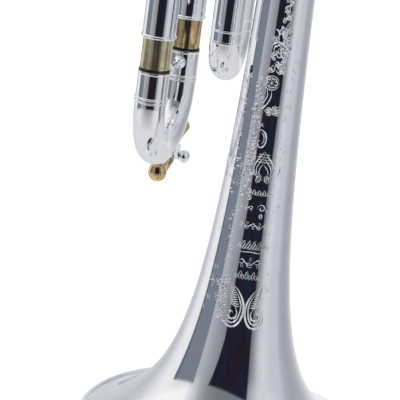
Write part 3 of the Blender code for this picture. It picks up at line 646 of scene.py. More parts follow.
def brace(name, start, along, distance, first_radius, second_radius, flange, body):
    """A turned brace between two tubes, with a domed foot at each end and a bead in the middle."""
    near = first_radius + 0.02
    far = distance - second_radius - 0.02
    middle = (near + far) / 2
    bar = flange * 0.42
    half = [(near, flange), (near + 0.55, flange), (near + 0.9, flange * 0.8), (near + 1.5, bar * 1.25),
            (near + 2.4, bar), (middle - 2.6, bar), (middle - 1.9, bar * 1.5), (middle - 0.9, bar * 1.9)]
    if middle - near < 6:
        half = [(near, flange), (near + 0.55, flange), (near + 1.2, bar)]
    route = straight(start, along, along.cross(UP).normalized())
    silver(turned(f"{name}_turned", route, mirrored(half, 2 * middle), 48), body, name)


def braces():
    for name, z, radius in (("front_bell_brace", 232.0, SLEEVE_RADIUS), ("rear_bell_brace", 353.0, 5.5)):
        brace(name, LEAD + UP * z, -LEAD.normalized(), LEAD.length, radius, bell_radius(z), 3.3, "trumpet")
    brace("bell_to_valve_brace", at_valve(VALVE_Z[0]), LEFT, -VALVE_X, CASING_RADIUS,
          bell_radius(VALVE_Z[0]), 3.0, "trumpet")


# The main slide and its water key

def main_slide():
    """The main tuning slide: two bare legs, their ferrules, the bend and the brace."""
    spread_out = LOWER - LEAD
    toward = spread_out.normalized()
    radius = spread_out.length / 2
    low = SLIDE_TOP - FERRULE_LENGTH
    length = MAIN_LEG_TOP - SLIDE_TOP
    # the lower leg takes the darker, more orange copy of the same brass: painted shade
    for name, place, brass in (("upper", LEAD, BRASS), ("lower", LOWER, BRASS_SHADED)):
        leg = pipe(f"main_slide_{name}_leg_drawn", upright(place, SLIDE_TOP + 0.02),
                   [(0, LEG_RADIUS), (length, LEG_RADIUS)], [(0, LEG_BORE), (length, LEG_BORE)])
        put(leg, brass, "bare_brass", "main_slide", f"main_slide_{name}_leg")
        leg.visible_glossy = False
        # a thin near-black ring just above the ferrule: painted shade where the ferrule's lip meets the leg
        lip_shade_ring = pipe(f"main_slide_{name}_leg_painted_shade", upright(place, SLIDE_TOP + 0.04),
                     [(0, LEG_RADIUS + 0.22), (0.9, LEG_RADIUS + 0.16), (1.3, LEG_RADIUS + 0.03)],
                     [(0, LEG_RADIUS - 0.1), (1.3, LEG_RADIUS - 0.1)])
        put(lip_shade_ring, PAINTED_SHADE_BRASS, "bare_brass", "main_slide")
        lip = CROOK_RADIUS + 0.12
        outer = ring_bead(0.0, CROOK_RADIUS, 0.38, 0.9) + ring_bead(1.5, CROOK_RADIUS, 0.38, 0.9)
        outer += [(FERRULE_LENGTH - 0.9, CROOK_RADIUS), (FERRULE_LENGTH - 0.6, lip), (FERRULE_LENGTH, lip)]
        silver(pipe(f"main_slide_{name}_ferrule_turned", upright(place, low), outer,
                    [(0, LEG_BORE), (FERRULE_LENGTH, LEG_BORE)], edge=0.1),
               "main_slide", f"main_slide_{name}_ferrule")
    run = low - 0.02 - BEND_START
    end = 2 * run + math.pi * radius
    crook = pipe("main_slide_crook_bent", bow(LEAD + UP * (low - 0.02), DOWN, toward, run, radius, run),
                 [(0, CROOK_RADIUS), (end, CROOK_RADIUS)], [(0, CROOK_BORE), (end, CROOK_BORE)])
    brace("main_slide_brace", LEAD + UP * (low + 8), toward, spread_out.length, CROOK_RADIUS, CROOK_RADIUS,
          2.6, "main_slide")
    water_key(LEAD + spread_out / 2 + UP * BEND_START, toward, radius, crook)


def water_key(centre, toward, radius, crook):
    """The water key on the outside of the bend: a gold lever on a screw between two ears."""
    side = toward.cross(UP).normalized()
    surface = radius + CROOK_RADIUS

    def outward(angle):
        return math.sin(angle) * toward - math.cos(angle) * UP

    def along(angle):
        return math.cos(angle) * toward + math.sin(angle) * UP

    def place(angle, distance):
        return centre + outward(angle) * distance

    hole, pivot_angle, touch, tail = (math.radians(a) for a in KEY_ANGLES)
    seat = surface + 0.3
    silver(cut(crook, rod("drain", place(hole, radius), place(hole, surface + 2), 1.6, SMALL)),
           "main_slide", "main_slide_crook")
    nipple = pipe("water_key_nipple_turned", straight(place(hole, seat - 0.5), outward(hole), side),
                  [(0, 3.4), (0.5, 3.2), (0.8, 2.6), (1.05, 2.5)], [(0, 1.6), (1.05, 1.6)], SMALL, 0.15)
    silver(nipple, "main_slide", "water_key_nipple")
    cork_base = seat + 0.6
    cork = turned("water_key_cork_cut", straight(place(hole, cork_base), outward(hole), side),
                  [(0, 2.5), (1.6, 2.6)], SMALL, 0.3)
    put(cork, CORK, "cork", "water_key", "water_key_cork")

    # the saddle: a plate with two ears, and the screw through them
    pivot_distance = surface + 4.2
    pivot = place(pivot_angle, pivot_distance)
    rise, length = outward(pivot_angle), along(pivot_angle)
    ear, slot, floor = 5.2, 3.7, 1.3
    low = seat - pivot_distance - 0.2
    tip = [(2.0 * math.sin(a), 1.9 * math.cos(a)) for a in (0.0, 0.4, 0.8, 1.2, 1.57)]
    profile = [(-2.6, low), (2.6, low), *tip[::-1], *((-x, y) for x, y in tip[1:])]
    plate = [side * a + rise * b
             for a, b in ((-ear, low), (ear, low), (ear, low + floor), (-ear, low + floor))]
    saddle = prism("water_key_saddle_cast", plate, pivot - length * 2.6, length * 5.2)
    outline = [length * x + rise * y for x, y in profile]
    join(saddle, *(prism("ear", outline, pivot + side * edge, side * (ear - slot)) for edge in (slot, -ear)))
    pin = [pivot - side * 9, pivot + side * 9, 1.15, 24]
    cut(saddle, rod("pin", *pin))
    silver(beveled(saddle, 0.2), "main_slide", "water_key_saddle")
    ball = [(5.3, 0.9), (5.3, 1.5), (5.6, 1.5), (5.65, 1.2)]
    ball += [(7.3 - 2.25 * math.cos(a), 2.85 * math.sin(a)) for a in np.linspace(0.5, 3.05, 14)]
    screw = turned("water_key_screw_turned", straight(pivot, side, rise), [(-6.0, 0.85), *ball], SMALL, 0.08)
    silver(screw, "main_slide", "water_key_screw")

    rings = []
    coils, steps = 3, 72
    for i in range(steps + 1):
        turn = 2 * math.pi * coils * i / steps
        spoke = math.cos(turn) * rise + math.sin(turn) * length
        rings.append(circle(pivot + side * (0.7 + 2.4 * i / steps) + spoke * 1.3, side.cross(spoke), side,
                            0.26, 8))
    put(shape("water_key_spring_coiled", rings), STEEL, "spring_steel", "main_slide", "water_key_spring")

    # the lever: an arm that follows the bend, its barrel on the screw and its cup over the cork
    cup_base = cork_base + 1.7
    arm = cup_base + 4.3
    sweep = tail - hole
    route = Route(place(hole, arm), along(hole), side, [(arm * sweep, sweep)])
    at_pivot = (pivot_angle - hole) * arm
    at_touch = (touch - hole) * arm
    widths = [(0, 4.4), (at_pivot - 6, 5.0), (at_pivot, 6.0), (at_pivot + 5, 4.0), (at_touch - 3.5, 6.6),
              (at_touch + 0.8, 10.0), (arm * sweep, 8.6)]
    lever = strip("water_key_lever_cast", route, widths, 1.5, 0.25, 0.6)
    neck = turned("neck", route, [(0.0, 1.3), (2.2, 1.9), (4.0, 2.1), (6.0, 2.0), (8.5, 1.7),
                                  (at_pivot - 2, 1.3)], SMALL, 0.3)
    barrel = turned("barrel", straight(pivot, side, rise), [(-3.2, 2.2), (0.0, 2.2)], SMALL, 0.3)
    cup = turned("cup", straight(place(hole, cup_base - 0.8), outward(hole), side),
                 [(0, 2.8), (0.6, 3.0), (1.4, 3.4), (2.6, 3.7), (3.8, 3.75), (5.0, 3.5), (6.0, 2.9),
                  (6.6, 2.1), (6.9, 1.1)], SMALL, 0.3)
    recess = rod("recess", place(hole, cup_base - 2), place(hole, cup_base - 0.02), 2.65, SMALL)
    join(lever, barrel, cup, neck)
    cut(lever, rod("pin", *pin), recess)
    put(lever, GOLD, "gold_plate", "water_key", "water_key_lever")
    lever.visible_glossy = False


# Valves

def valve(name, z, passages):
    """One valve: casing, caps, piston, guide, spring, button, pearl and felt."""
    body = f"{name}_valve"
    length = CASING_END - CASING_TOP
    threads = [(0, 10.2), *((0.4 + 0.4 * i, 10.45 if i % 2 else 10.25) for i in range(14))]
    bead = ring_bead(9.0, CASING_RADIUS, 0.35, 1.2)
    outer = [*threads, (6.6, CASING_RADIUS), (8.0, CASING_RADIUS), *mirrored(bead, length),
             (length - 6.6, CASING_RADIUS), *((length - s, r) for s, r in threads[::-1])]
    silver(pipe(f"{body}_casing_drawn", down_valve(z, CASING_TOP), outer,
                [(0, CASING_BORE), (length, CASING_BORE)], 72, 0.06), "trumpet", f"{body}_casing")
    outer = [(0, 6.2), (0.0, 9.2), (0.5, 10.4), (1.2, 11.1), (1.7, CAP_RADIUS), (4.4, CAP_RADIUS),
             (4.7, 11.0), (5.3, 11.0), (5.6, 11.3), (10, 11.3)]
    silver(pipe(f"{body}_top_cap_knurled", down_valve(z, CAP_TOP), outer,
                [(0, 4.6), (4.2, 4.6), (4.2, CAP_BORE), (10, CAP_BORE)], 240, 0.2,
                (60, 0.28, 1.9, 4.2, 11.2)), "trumpet", f"{body}_top_cap")
    skirt = CASING_END - 5.4
    length = BOTTOM_CAP_END - skirt
    outer = [(0, 11.3), (3.6, 11.3), (3.9, 11.0), (4.4, 11.0), (4.7, CAP_RADIUS), (8.6, CAP_RADIUS),
             (9.0, 11.0), (9.5, 10.7), (11.4, 10.0), (length - 0.9, 8.8), (length, 6.5)]
    silver(pipe(f"{body}_bottom_cap_knurled", down_valve(z, skirt), outer,
                [(0, CAP_BORE), (5.7, CAP_BORE), (5.7, 9.2), (length - 1.9, 8.6), (length - 1.4, 2.5),
                 (length, 2.5)], 240, 0.2, (60, 0.28, 4.9, 8.4, 11.2)), "trumpet", f"{body}_bottom_cap")

    outer = [(-25.7, 2.2), (-3.2, 2.2), (-2.4, 3.0), (-2.0, 4.0), (0, 4.0), (0.4, 8.1), (1.0, 8.3),
             (103, 8.3)]
    piston = turned(f"{body}_piston_lapped", down_valve(z, -33), outer, 48, 0.15)
    corners = [LEFT * 12 * a + UP * 2.8 * b for a, b in ((1, 1), (-1, 1), (-1, -1), (1, -1))]
    cutters = [rod("barrel", at_valve(z, -30.8), at_valve(z, -6.6), 7.3, 48),
               prism("slots", corners, at_valve(z, -28.8), BOTTOM * 21.9)]
    for depth, ends in passages:
        centre = at_valve(z, depth)
        for end in ends:
            heading = (end - centre).normalized()
            cutters.append(rod("passage", centre - heading * 2, centre + heading * 14, 5.2, 40))
    put(cut(piston, *cutters), PISTON, "piston_metal", body, f"{body}_piston")
    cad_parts[f"{body}_guide"].data.materials[0] = NYLON

    low, high = -9.75, -30.05
    rings = []
    coils, per_coil = 7, 20
    for i in range(coils * per_coil + 1):
        turn = 2 * math.pi * i / per_coil
        spoke = math.cos(turn) * LEFT + math.sin(turn) * UP
        ease = min(1.0, max(0.0, (i / (coils * per_coil) - 0.07) / 0.86))
        point = at_valve(z, low + (high - low) * ease) + spoke * 6.1
        rings.append(circle(point, spoke.cross(BOTTOM), BOTTOM, 0.42, 8))
    coil = put(shape(f"{body}_spring_coiled", rings), STEEL, "spring_steel", "trumpet", f"{body}_spring")
    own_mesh(coil)

    outer = [(0.9, 0.05), (0.9, 6.4), (0, 6.5), (0, 6.9), (0.3, 7.4), (0.9, 7.6), (1.9, 7.6), (2.5, 7.2),
             (3.0, 6.4), (3.2, 3.4), (4.2, 3.4)]
    silver(turned(f"{body}_button_turned", down_valve(z, BUTTON_TOP), outer, 64, 0.15), body,
           f"{body}_button")
    dome = [(-0.55, 0.6), (-0.53, 2.0), (-0.45, 3.4), (-0.28, 4.8), (0.0, 5.8), (0.3, 6.2), (0.85, 6.2)]
    put(turned(f"{name}_button_pearl_polished", down_valve(z, BUTTON_TOP), dome, 64, 0.05), PEARL, "pearl",
        body, f"{name}_button_pearl")
    felt = pipe(f"{body}_felt", down_valve(z, -60.15), [(0, 6.1), (2.2, 6.1)], [(0, 3.5), (2.2, 3.5)],
                48, 0.4)
    put(felt, FELT, None, body)


def valves():
    """The three valves, with the passages that their pistons line up in each position."""
    first, second, third = (at_valve(z) for z in VALVE_Z)
    lift, out = TOP * STROKE, 8.3
    low, high, tail = BOTTOM * LOW_KNUCKLE_Y, BOTTOM * HIGH_KNUCKLE_Y, BOTTOM * TAIL.y
    elbow = third + BOTTOM * LOWER.y
    first_ports = [first + BOTTOM * y for y in FIRST_Y]
    second_ports = [second + BOTTOM * y for y in SECOND_Y]
    third_ports = [Vector((THIRD_X, y, VALVE_Z[2])) for y in THIRD_Y]
    valve("first", VALVE_Z[0], [
        (57.0, [first + high + DOWN * out, first + tail + UP * out]),
        (16.0, [first + high + lift + DOWN * out, first_ports[0] + lift + UP * out]),
        (35.0, [first_ports[1] + lift + UP * out, first + tail + lift + UP * out])])
    valve("second", VALVE_Z[1], [
        (46.0, [second + low + DOWN * out, second + high + UP * out]),
        (12.0, [second + low + lift + DOWN * out, second_ports[0] + lift + RIGHT * out]),
        (28.0, [second_ports[1] + lift + RIGHT * out, second + high + lift + UP * out])])
    valve("third", VALVE_Z[2], [
        (LOWER.y, [elbow + RIGHT * out, third + low + UP * out]),
        (12.0, [elbow + lift + RIGHT * out, third_ports[0] + lift + DOWN * out]),
        (25.0, [third_ports[1] + lift + DOWN * out, third + low + lift + UP * out])])


# The valves' slides

def sleeves(name, starts, heading, length, z, bar_at):
    """A valve slide's two fixed tubes, trimmed to the casing and tied by a bar."""
    across = (starts[1] - starts[0]).normalized()
    side = heading.cross(across).normalized()
    outer = [(0, SLEEVE_RADIUS), (length - 1.5, SLEEVE_RADIUS), *ring_bead(length - 1.45, SLEEVE_RADIUS)[1:]]
    parts = [pipe(f"{name}_{i}", straight(start, heading, side), outer,
                  [(0, SLEEVE_BORE), (length, SLEEVE_BORE)], edge=0.1) for i, start in enumerate(starts)]
    near, far = (starts[0] + heading * bar_at + across * 6.3, starts[1] + heading * bar_at - across * 6.3)
    half = [(0, 2.2), (0.7, 2.2), (1.3, 1.3)]
    bar = turned(f"{name}_bar", straight(near, across, side), mirrored(half, (far - near).length))
    joined = join(parts[0], parts[1], bar)
    joined.name = f"{name}_tubes"
    silver(cut(joined, casing_rod(z)), "trumpet", name)


def u_tube(name, start, heading, toward, engaged, exposed, radius, beads, body):
    """A sliding U-tube: two legs that run in the sleeves and the crook between them."""
    run = engaged + exposed
    route = bow(start, heading, toward, run, radius, run)
    end = 2 * run + math.pi * radius
    half = [(0, LEG_RADIUS), (engaged, LEG_RADIUS), (engaged, CROOK_RADIUS)]
    for at in beads:
        half += ring_bead(engaged + at, CROOK_RADIUS, 0.22, 0.8)
    silver(pipe(name, route, mirrored(half, end), [(0, LEG_BORE), (end, LEG_BORE)], edge=0.1), body,
           f"{body}_tube")


def valve_slides():
    first = [at_valve(VALVE_Z[0], y) for y in FIRST_Y]
    sleeves("first_slide_sleeves", first, UP, 42.0, VALVE_Z[0], 26.0)
    u_tube("first_slide_bent", at_valve(342.0, FIRST_Y[0]), UP, BOTTOM, 24.4, 5.6, 12.0, [0.4],
           "first_slide")
    base = FIRST_Y[0] - CROOK_RADIUS - 0.75
    quarter = (2.5 * math.pi, math.pi / 2)
    route = Route(at_valve(365.5, base - 20), BOTTOM, LEFT,
                  [(15, 0.0), quarter, (13, 0.0), quarter, (15, 0.0)])
    length = 43 + 5 * math.pi
    widths = [(0, 9.0), (6, 11.0), (length / 2, 10.0), (length - 6, 11.0), (length, 9.0)]
    silver(strip("thumb_saddle_bent", route, widths, 1.4, 0.0, 0.6), "first_slide", "thumb_saddle")

    second = [at_valve(VALVE_Z[1], y) for y in SECOND_Y]
    sleeves("second_slide_sleeves", second, RIGHT, 31.0, VALVE_Z[1], 22.0)
    u_tube("second_slide_bent", Vector((SECOND_LEG_X, SECOND_Y[0], VALVE_Z[1])), RIGHT, BOTTOM, 16.4, 3.0,
           10.0, [0.4], "second_slide")
    knob_at = Vector((SECOND_LEG_X - 16.4 - 3.0 - 10.0 - CROOK_RADIUS + 0.3, 28.0, VALVE_Z[1]))
    knob = [(0, 2.7), (0.8, 2.4), *smoothed([(1.3, 1.8), (2.6, 1.6), (4.0, 2.6), (5.2, 3.9), (6.8, 4.2),
                                             (8.2, 3.6), (9.1, 2.0), (9.35, 0.6)])]
    silver(turned("second_slide_knob_turned", straight(knob_at, RIGHT, UP), knob, 48), "second_slide",
           "second_slide_knob")

    third = [Vector((THIRD_X, y, VALVE_Z[2])) for y in THIRD_Y]
    sleeves("third_slide_sleeves", third, DOWN, VALVE_Z[2] - THIRD_SLEEVE_END, VALVE_Z[2], 34.0)
    engaged = THIRD_LEG_TOP - THIRD_SLEEVE_END + 0.4
    exposed = THIRD_LEG_TOP - engaged - THIRD_BEND_START
    u_tube("third_slide_bent", Vector((THIRD_X, THIRD_Y[0], THIRD_LEG_TOP)), DOWN, BOTTOM, engaged, exposed,
           13.0, [0.4, exposed - 4.2, exposed + 0.2], "third_slide")
    hub = Vector((THIRD_X, THIRD_Y[0] - CROOK_RADIUS - 12.55, 200.0))
    ring = pipe("third_slide_ring_turned", straight(hub - LEFT * 3, LEFT, BOTTOM),
                mirrored([(0, 12.0), (0.6, 12.5)], 6), mirrored([(0, 10.9), (0.8, 10.4)], 6), 80, 0.4)
    silver(ring, "third_slide", "third_slide_ring")


def pinky_hook():
    """The hook for the right little finger, on top of the main slide's outer tube."""
    half_turn = 8.0 * math.pi
    start = Vector((LEAD.x, LEAD.y - SLEEVE_RADIUS - 0.45, 284.0))
    route = Route(start, DOWN, RIGHT, [(14.0, 0.0), (half_turn, math.pi), (9.0, 0.0)])
    length = 23.0 + half_turn
    silver(strip("pinky_hook_bent", route, [(0, 4.5), (5, 6.5), (20, 8.0), (length - 6, 8.0), (length, 6.0)],
                 1.5, 0.0, 0.6), "trumpet", "pinky_hook")


# Engraving

ENGRAVE_FACING = math.radians(7.8)
LINE_WIDTH = 0.42
LINE_SHAPE = 0.27


class Engraver:
    """Gathers the engraving's strokes, as fine ridges; u runs round the bell and v up it, in millimetres."""

    def __init__(self):
        self.build = bmesh.new()
        self.draw = np.random.default_rng(7)

    def surface(self, u, v):
        """The point and the outward normal at u round from the facing line and v up."""
        r = bell_radius(v)
        angle = ENGRAVE_FACING + u / r
        slope = (bell_radius(v + 0.2) - bell_radius(v - 0.2)) / 0.4
        out = Vector((math.sin(angle), -math.cos(angle), 0))
        return out * r + UP * v, (out - UP * slope).normalized()

    def line(self, points, width=LINE_WIDTH):
        """A ridge through (u, v) points, thin at its ends; it stands for a bright-cut stroke."""
        found = [self.surface(u, v) for u, v in points]
        loops = []
        last = len(found) - 1
        for i, (p, n) in enumerate(found):
            along = (found[min(i + 1, last)][0] - found[max(i - 1, 0)][0]).normalized()
            across = n.cross(along).normalized()
            share = i / last
            grow = min(1.0, 0.15 + 3.2 * min(share, 1 - share))
            w = width * grow / 2
            ring = (p + across * w - n * 0.04, p + n * width * LINE_SHAPE * grow, p - across * w - n * 0.04)
            loops.append([self.build.verts.new((co + BELL_PLACE) * MM) for co in ring])
        for one, two in zip(loops, loops[1:]):
            for a in range(3):
                b = (a + 1) % 3
                self.build.faces.new((one[a], one[b], two[b], two[a]))
        self.build.faces.new(loops[0][::-1])
        self.build.faces.new(loops[-1])

    def curve(self, points, width=LINE_WIDTH, steps=5):
        """A smooth stroke through a few (u, v) points."""
        dense = []
        last = len(points) - 1
        for i in range(last):
            near = [points[min(max(i + k, 0), last)] for k in (-1, 0, 1, 2)]
            dense += [tuple(spline(*four, j / steps) for four in zip(*near)) for j in range(steps)]
        self.line(dense + [points[-1]], width)

    def arc(self, u, v, radius, start, sweep, squash=1.0, tilt=0.0, width=LINE_WIDTH, steps=14):
        """Part of a circle or ellipse; angles in degrees."""
        points = []
        ct, st = math.cos(math.radians(tilt)), math.sin(math.radians(tilt))
        for i in range(steps + 1):
            a = math.radians(start + sweep * i / steps)
            x, y = radius * math.cos(a), radius * squash * math.sin(a)
            points.append((u + x * ct - y * st, v + x * st + y * ct))
        self.line(points, width)

    def scroll(self, u, v, size, start, turns, hand=1, width=LINE_WIDTH, squash=1.0):
        """A volute that winds inward from its outer end."""
        steps = int(22 * turns)
        points = []
        for i in range(steps + 1):
            share = i / steps
            a = math.radians(start) + hand * 2 * math.pi * turns * share
            r = size * (1 - 0.84 * share)
            points.append((u + r * math.cos(a), v + r * squash * math.sin(a)))
        self.line(points, width)

    def leaf(self, u, v, length, width, angle, line=LINE_WIDTH, rib=True):
        """A pointed leaf, with a midrib."""
        a = math.radians(angle)
        ca, sa = math.cos(a), math.sin(a)

        def turn(x, y):
            return u + x * ca - y * sa, v + x * sa + y * ca

        for sign in (1, -1):
            self.line([turn(length * t, sign * width / 2 * math.sin(math.pi * t) ** 0.8)
                       for t in np.linspace(0, 1, 8)], line)
        if rib:
            self.line([turn(length * t, 0) for t in np.linspace(0.1, 0.9, 4)], line * 0.7)

    def flower(self, u, v, size, petals, width=LINE_WIDTH):
        """A round flower: looped petals about a small centre."""
        for i in range(petals):
            a = 360 * i / petals
            r = math.radians(a)
            self.arc(u + size * 0.55 * math.cos(r), v + size * 0.55 * math.sin(r), size * 0.42, a - 130, 260,
                     0.8, 0.0, width, 9)
        self.arc(u, v, size * 0.2, 0, 360, width=width, steps=8)

    def burst(self, u, v, reach, rays, width=0.34):
        """A star of thin rays, long and short by turns."""
        for k in range(rays):
            a = 2 * math.pi * k / rays + 0.2
            far = reach * (1.0 if k % 2 else 0.6)
            self.line([(u + far * t * math.cos(a), v + 0.8 * far * t * math.sin(a))
                       for t in (0.14, 0.5, 1.0)], width)

    def plume(self, axis, foot, hand):
        """A feathered scroll: a wide double curl at its foot and a tail of barbs that sweeps up and out."""
        def at(*points):
            return [(axis + hand * x, foot + y) for x, y in points]

        self.curve(at((7.4, 5.8), (8.0, 3.0), (6.3, 0.8), (3.9, 0.1), (1.8, 1.8), (0.5, 5.1), (0.4, 8.4),
                      (1.3, 11.4), (3.2, 14.4), (5.8, 16.8)), 0.9)
        self.curve(at((6.7, 6.4), (7.0, 3.7), (5.7, 2.0), (3.9, 1.7), (2.4, 3.4), (1.6, 6.3), (1.6, 9.0),
                      (2.6, 11.8), (4.5, 14.4)), 0.7)
        self.curve(at((3.6, 8.0), (2.7, 5.6), (3.5, 3.5), (5.1, 3.3), (5.9, 4.7), (5.2, 6.2),
                      (4.2, 5.6)), 0.85)
        for i in range(9):
            x, y = 2.0 + 0.30 * i, 8.3 + 0.86 * i
            reach = 3.9 - 0.24 * i
            self.curve(at((x, y), (x + reach * 0.5, y - 0.1), (x + reach, y + 1.3)), 0.6, 3)
        for i in range(4):
            self.curve(at((6.4 + 0.5 * i, 16.6 - 0.9 * i), (7.2 + 0.5 * i, 17.0 - 0.6 * i),
                          (7.9 + 0.4 * i, 16.6 - 0.3 * i)), 0.4, 3)

    def vine(self, v, left, right, height, width):
        """A band of curled tendrils on both sides of a waving stem."""
        count = max(2, round((right - left) / (height * 0.8)))
        step = (right - left) / count
        wave = [(left + (right - left) * t, v + 0.22 * height * math.sin(math.pi * count * t))
                for t in np.linspace(0, 1, 6 * count + 1)]
        self.line(wave, width)
        for i in range(count):
            side = 1 if i % 2 else -1
            u = left + (i + 0.5) * step
            self.scroll(u, v - side * 0.16 * height, 0.34 * height, 90 - side * 90, 1.1, -side, width * 0.8)
            self.leaf(u, v + side * 0.12 * height, 0.4 * height, 0.2 * height, 70 * side, width * 0.6, False)

    def reeds(self, v, left, right, height, step, lean):
        """A band of leaning leaves, every second one short."""
        count = int((right - left) / step)
        for i in range(count + 1):
            u = left + i * (right - left) / count
            tall = height * (1.0 if i % 2 else 0.62)
            self.leaf(u, v - height / 2, tall, 0.34 * step + 0.5, lean, 0.36, False)

    def thicket(self, count, place, size, width):
        """Scrolls and leaves at random; place gives a spot from two numbers between 0 and 1."""
        for i in range(count):
            u, v = place(self.draw.random(), (i + self.draw.random()) / count)
            kind = self.draw.random()
            reach = size * self.draw.uniform(0.7, 1.25)
            angle = self.draw.uniform(20, 160)
            hand = 1 if self.draw.random() < 0.5 else -1
            if kind < 0.42:
                self.scroll(u, v, reach, angle, 1.2, hand, width * self.draw.uniform(0.8, 1.3), 1.25)
            elif kind < 0.78:
                self.leaf(u, v, reach * 2.1, reach * 0.9, angle, width * 0.85)
            else:
                self.arc(u, v, reach * 1.2, angle - 60, 130 * hand, 1.2, 0.0, width * 1.3, 7)

    def finish(self):
        bmesh.ops.recalc_face_normals(self.build, faces=self.build.faces)
        mesh = bpy.data.meshes.new("bell_engraving_cut")
        self.build.to_mesh(mesh)
        self.build.free()
        obj = bpy.data.objects.new("bell_engraving_cut", mesh)
        bpy.context.scene.collection.objects.link(obj)
        return silver(obj, "trumpet")


def engraving():
    """Scrollwork up the front of the bell: plumes, garlands, a leaf medallion, flowers and foliage."""
    tool = Engraver()
    for hand in (1, -1):
        tool.plume(0.75, 52.2, hand)
    # garlands, one above another
    tool.reeds(72.9, -4.4, 4.6, 3.4, 1.15, 80)
    tool.vine(77.9, -4.4, 4.8, 4.2, 0.42)
    tool.line([(u, 82.0 + 0.12 * math.cos(u)) for u in np.linspace(-4.6, 4.4, 12)], 0.55)
    tool.reeds(85.0, -5.2, 5.0, 4.2, 1.0, 66)
    tool.vine(92.5, -6.4, 5.4, 3.0, 0.42)
    tool.vine(99.4, -7.0, -1.2, 2.4, 0.4)
    tool.scroll(1.9, 99.6, 1.7, 200, 1.3, -1, 0.5)
    tool.leaf(3.6, 98.6, 2.6, 1.1, 60, 0.45)
    tool.leaf(2.0, 95.4, 2.2, 1.0, 95, 0.45)
    tool.reeds(105.6, -3.0, 5.0, 2.4, 0.95, 84)
    # medallion: a leaf within a leaf, with scales across its crown
    for scale, width in ((1.0, 0.62), (0.74, 0.46), (0.46, 0.4)):
        for sign in (1, -1):
            tool.line([(0.5 - 0.9 * (t - 0.5) + sign * 3.9 * scale * math.sin(math.pi * t ** 0.72),
                        110.4 + 11.4 * (t * scale + (1 - scale) * 0.22))
                       for t in np.linspace(0.0, 1.0, 15)], width)
    for row in range(4):
        for i in range(5 - row // 2):
            tool.arc(-1.9 + 1.05 * i + 0.5 * (row % 2), 117.2 + 1.0 * row, 0.55, 0, 180, width=0.34, steps=5)
    for sign in (1, -1):
        tool.leaf(0.6 + sign * 2.2, 109.4, 3.4, 1.6, 90 + sign * 20, 0.46)
        tool.scroll(0.5 + sign * 4.9, 119.6, 1.6, 270, 1.3, sign, 0.42)
        tool.arc(0.3 + sign * 4.3, 115.0, 2.4, 90 - sign * 150, sign * 110, 1.4, width=0.42)
    # a hook, a flower, the stem that they hang from, and the rosette at its top
    tool.curve([(-3.7, 129.2), (-2.5, 130.0), (-0.9, 129.1), (-0.2, 127.0), (-0.6, 124.5), (-1.8, 123.2),
                (-3.0, 124.0), (-3.1, 125.6), (-2.1, 125.9)], 0.68)
    tool.curve([(-2.3, 129.0), (-1.2, 127.9), (-1.1, 125.7), (-1.9, 124.4)], 0.4)
    tool.burst(-2.6, 131.9, 1.2, 6, 0.4)
    for angle, length in ((10, 3.4), (38, 3.8), (66, 3.0), (140, 2.6), (172, 3.0), (-18, 3.0), (215, 2.4)):
        tool.leaf(0.4, 137.3, length, 1.2, angle, 0.5)
    tool.curve([(-0.8, 145.9), (-0.7, 143.4), (-1.5, 140.9), (-3.2, 138.4), (-4.6, 137.6)], 0.6)
    tool.curve([(-2.6, 146.0), (-2.1, 143.6), (-2.9, 141.2), (-4.2, 139.8)], 0.5)
    tool.flower(-1.0, 148.4, 2.2, 7, 0.5)
    tool.arc(-1.0, 148.4, 2.7, 0, 360, width=0.55, steps=22)
    # foliage from the rosette to the top of the bell's stem, under one broad arch
    tool.arc(-0.5, 161.6, 2.5, 15, 160, 1.0, width=0.8)
    tool.arc(-0.7, 161.4, 1.4, 30, 190, 1.0, width=0.6)
    tool.thicket(36, lambda a, b: (-2.6 + 5.6 * a, 151.4 + 17.0 * b), 1.15, 0.52)
    tool.thicket(26, lambda a, b: (0.8 + 2.4 * a, 151.4 + 17.0 * b), 0.95, 0.48)
    tool.thicket(80, lambda a, b: (-0.2 + 3.4 * a, 167.0 + 46.0 * b), 1.05, 0.5)
    # foliage on both flanks
    tool.thicket(76, lambda a, b: (-6.8 + 3.2 * a, 103.0 + 46.0 * b), 0.95, 0.44)
    tool.thicket(34, lambda a, b: (-15.0 + 4.5 * a, 104.0 + 52.0 * b), 1.2, 0.42)
    tool.thicket(9, lambda a, b: (-9.6 + 2.2 * a, 106.0 + 12.0 * b), 0.9, 0.38)
    tool.thicket(26, lambda a, b: (4.8 + 3.6 * a, 58.0 + 100.0 * b), 1.0, 0.26)
    tool.thicket(34, lambda a, b: (-11.5 + 5.0 * a, 54.0 + 17.0 * b), 0.9, 0.38)
    tool.thicket(16, lambda a, b: (-10.0 + 3.0 * a, 74.0 + 28.0 * b), 0.8, 0.36)
    # stars low on the left
    tool.burst(-12.8, 67.8, 4.4, 14, 0.4)
    for u, v in ((-11.0, 62.6), (-15.2, 60.6), (-17.8, 56.4), (-13.6, 73.2), (-15.0, 88.0), (-16.0, 96.0)):
        tool.burst(u, v, 1.9, 8, 0.36)
    tool.finish()


# Studio

def grey(level):
    """A linear colour from a display level between 0 and 255, or from three of them."""
    levels = level if isinstance(level, tuple) else (level, level, level)
    found = []
    for value in levels:
        share = value / 255 / 0.985
        found.append(share / 12.92 if share <= 0.04045 else ((share + 0.055) / 1.055) ** 2.4)
    return tuple(found)


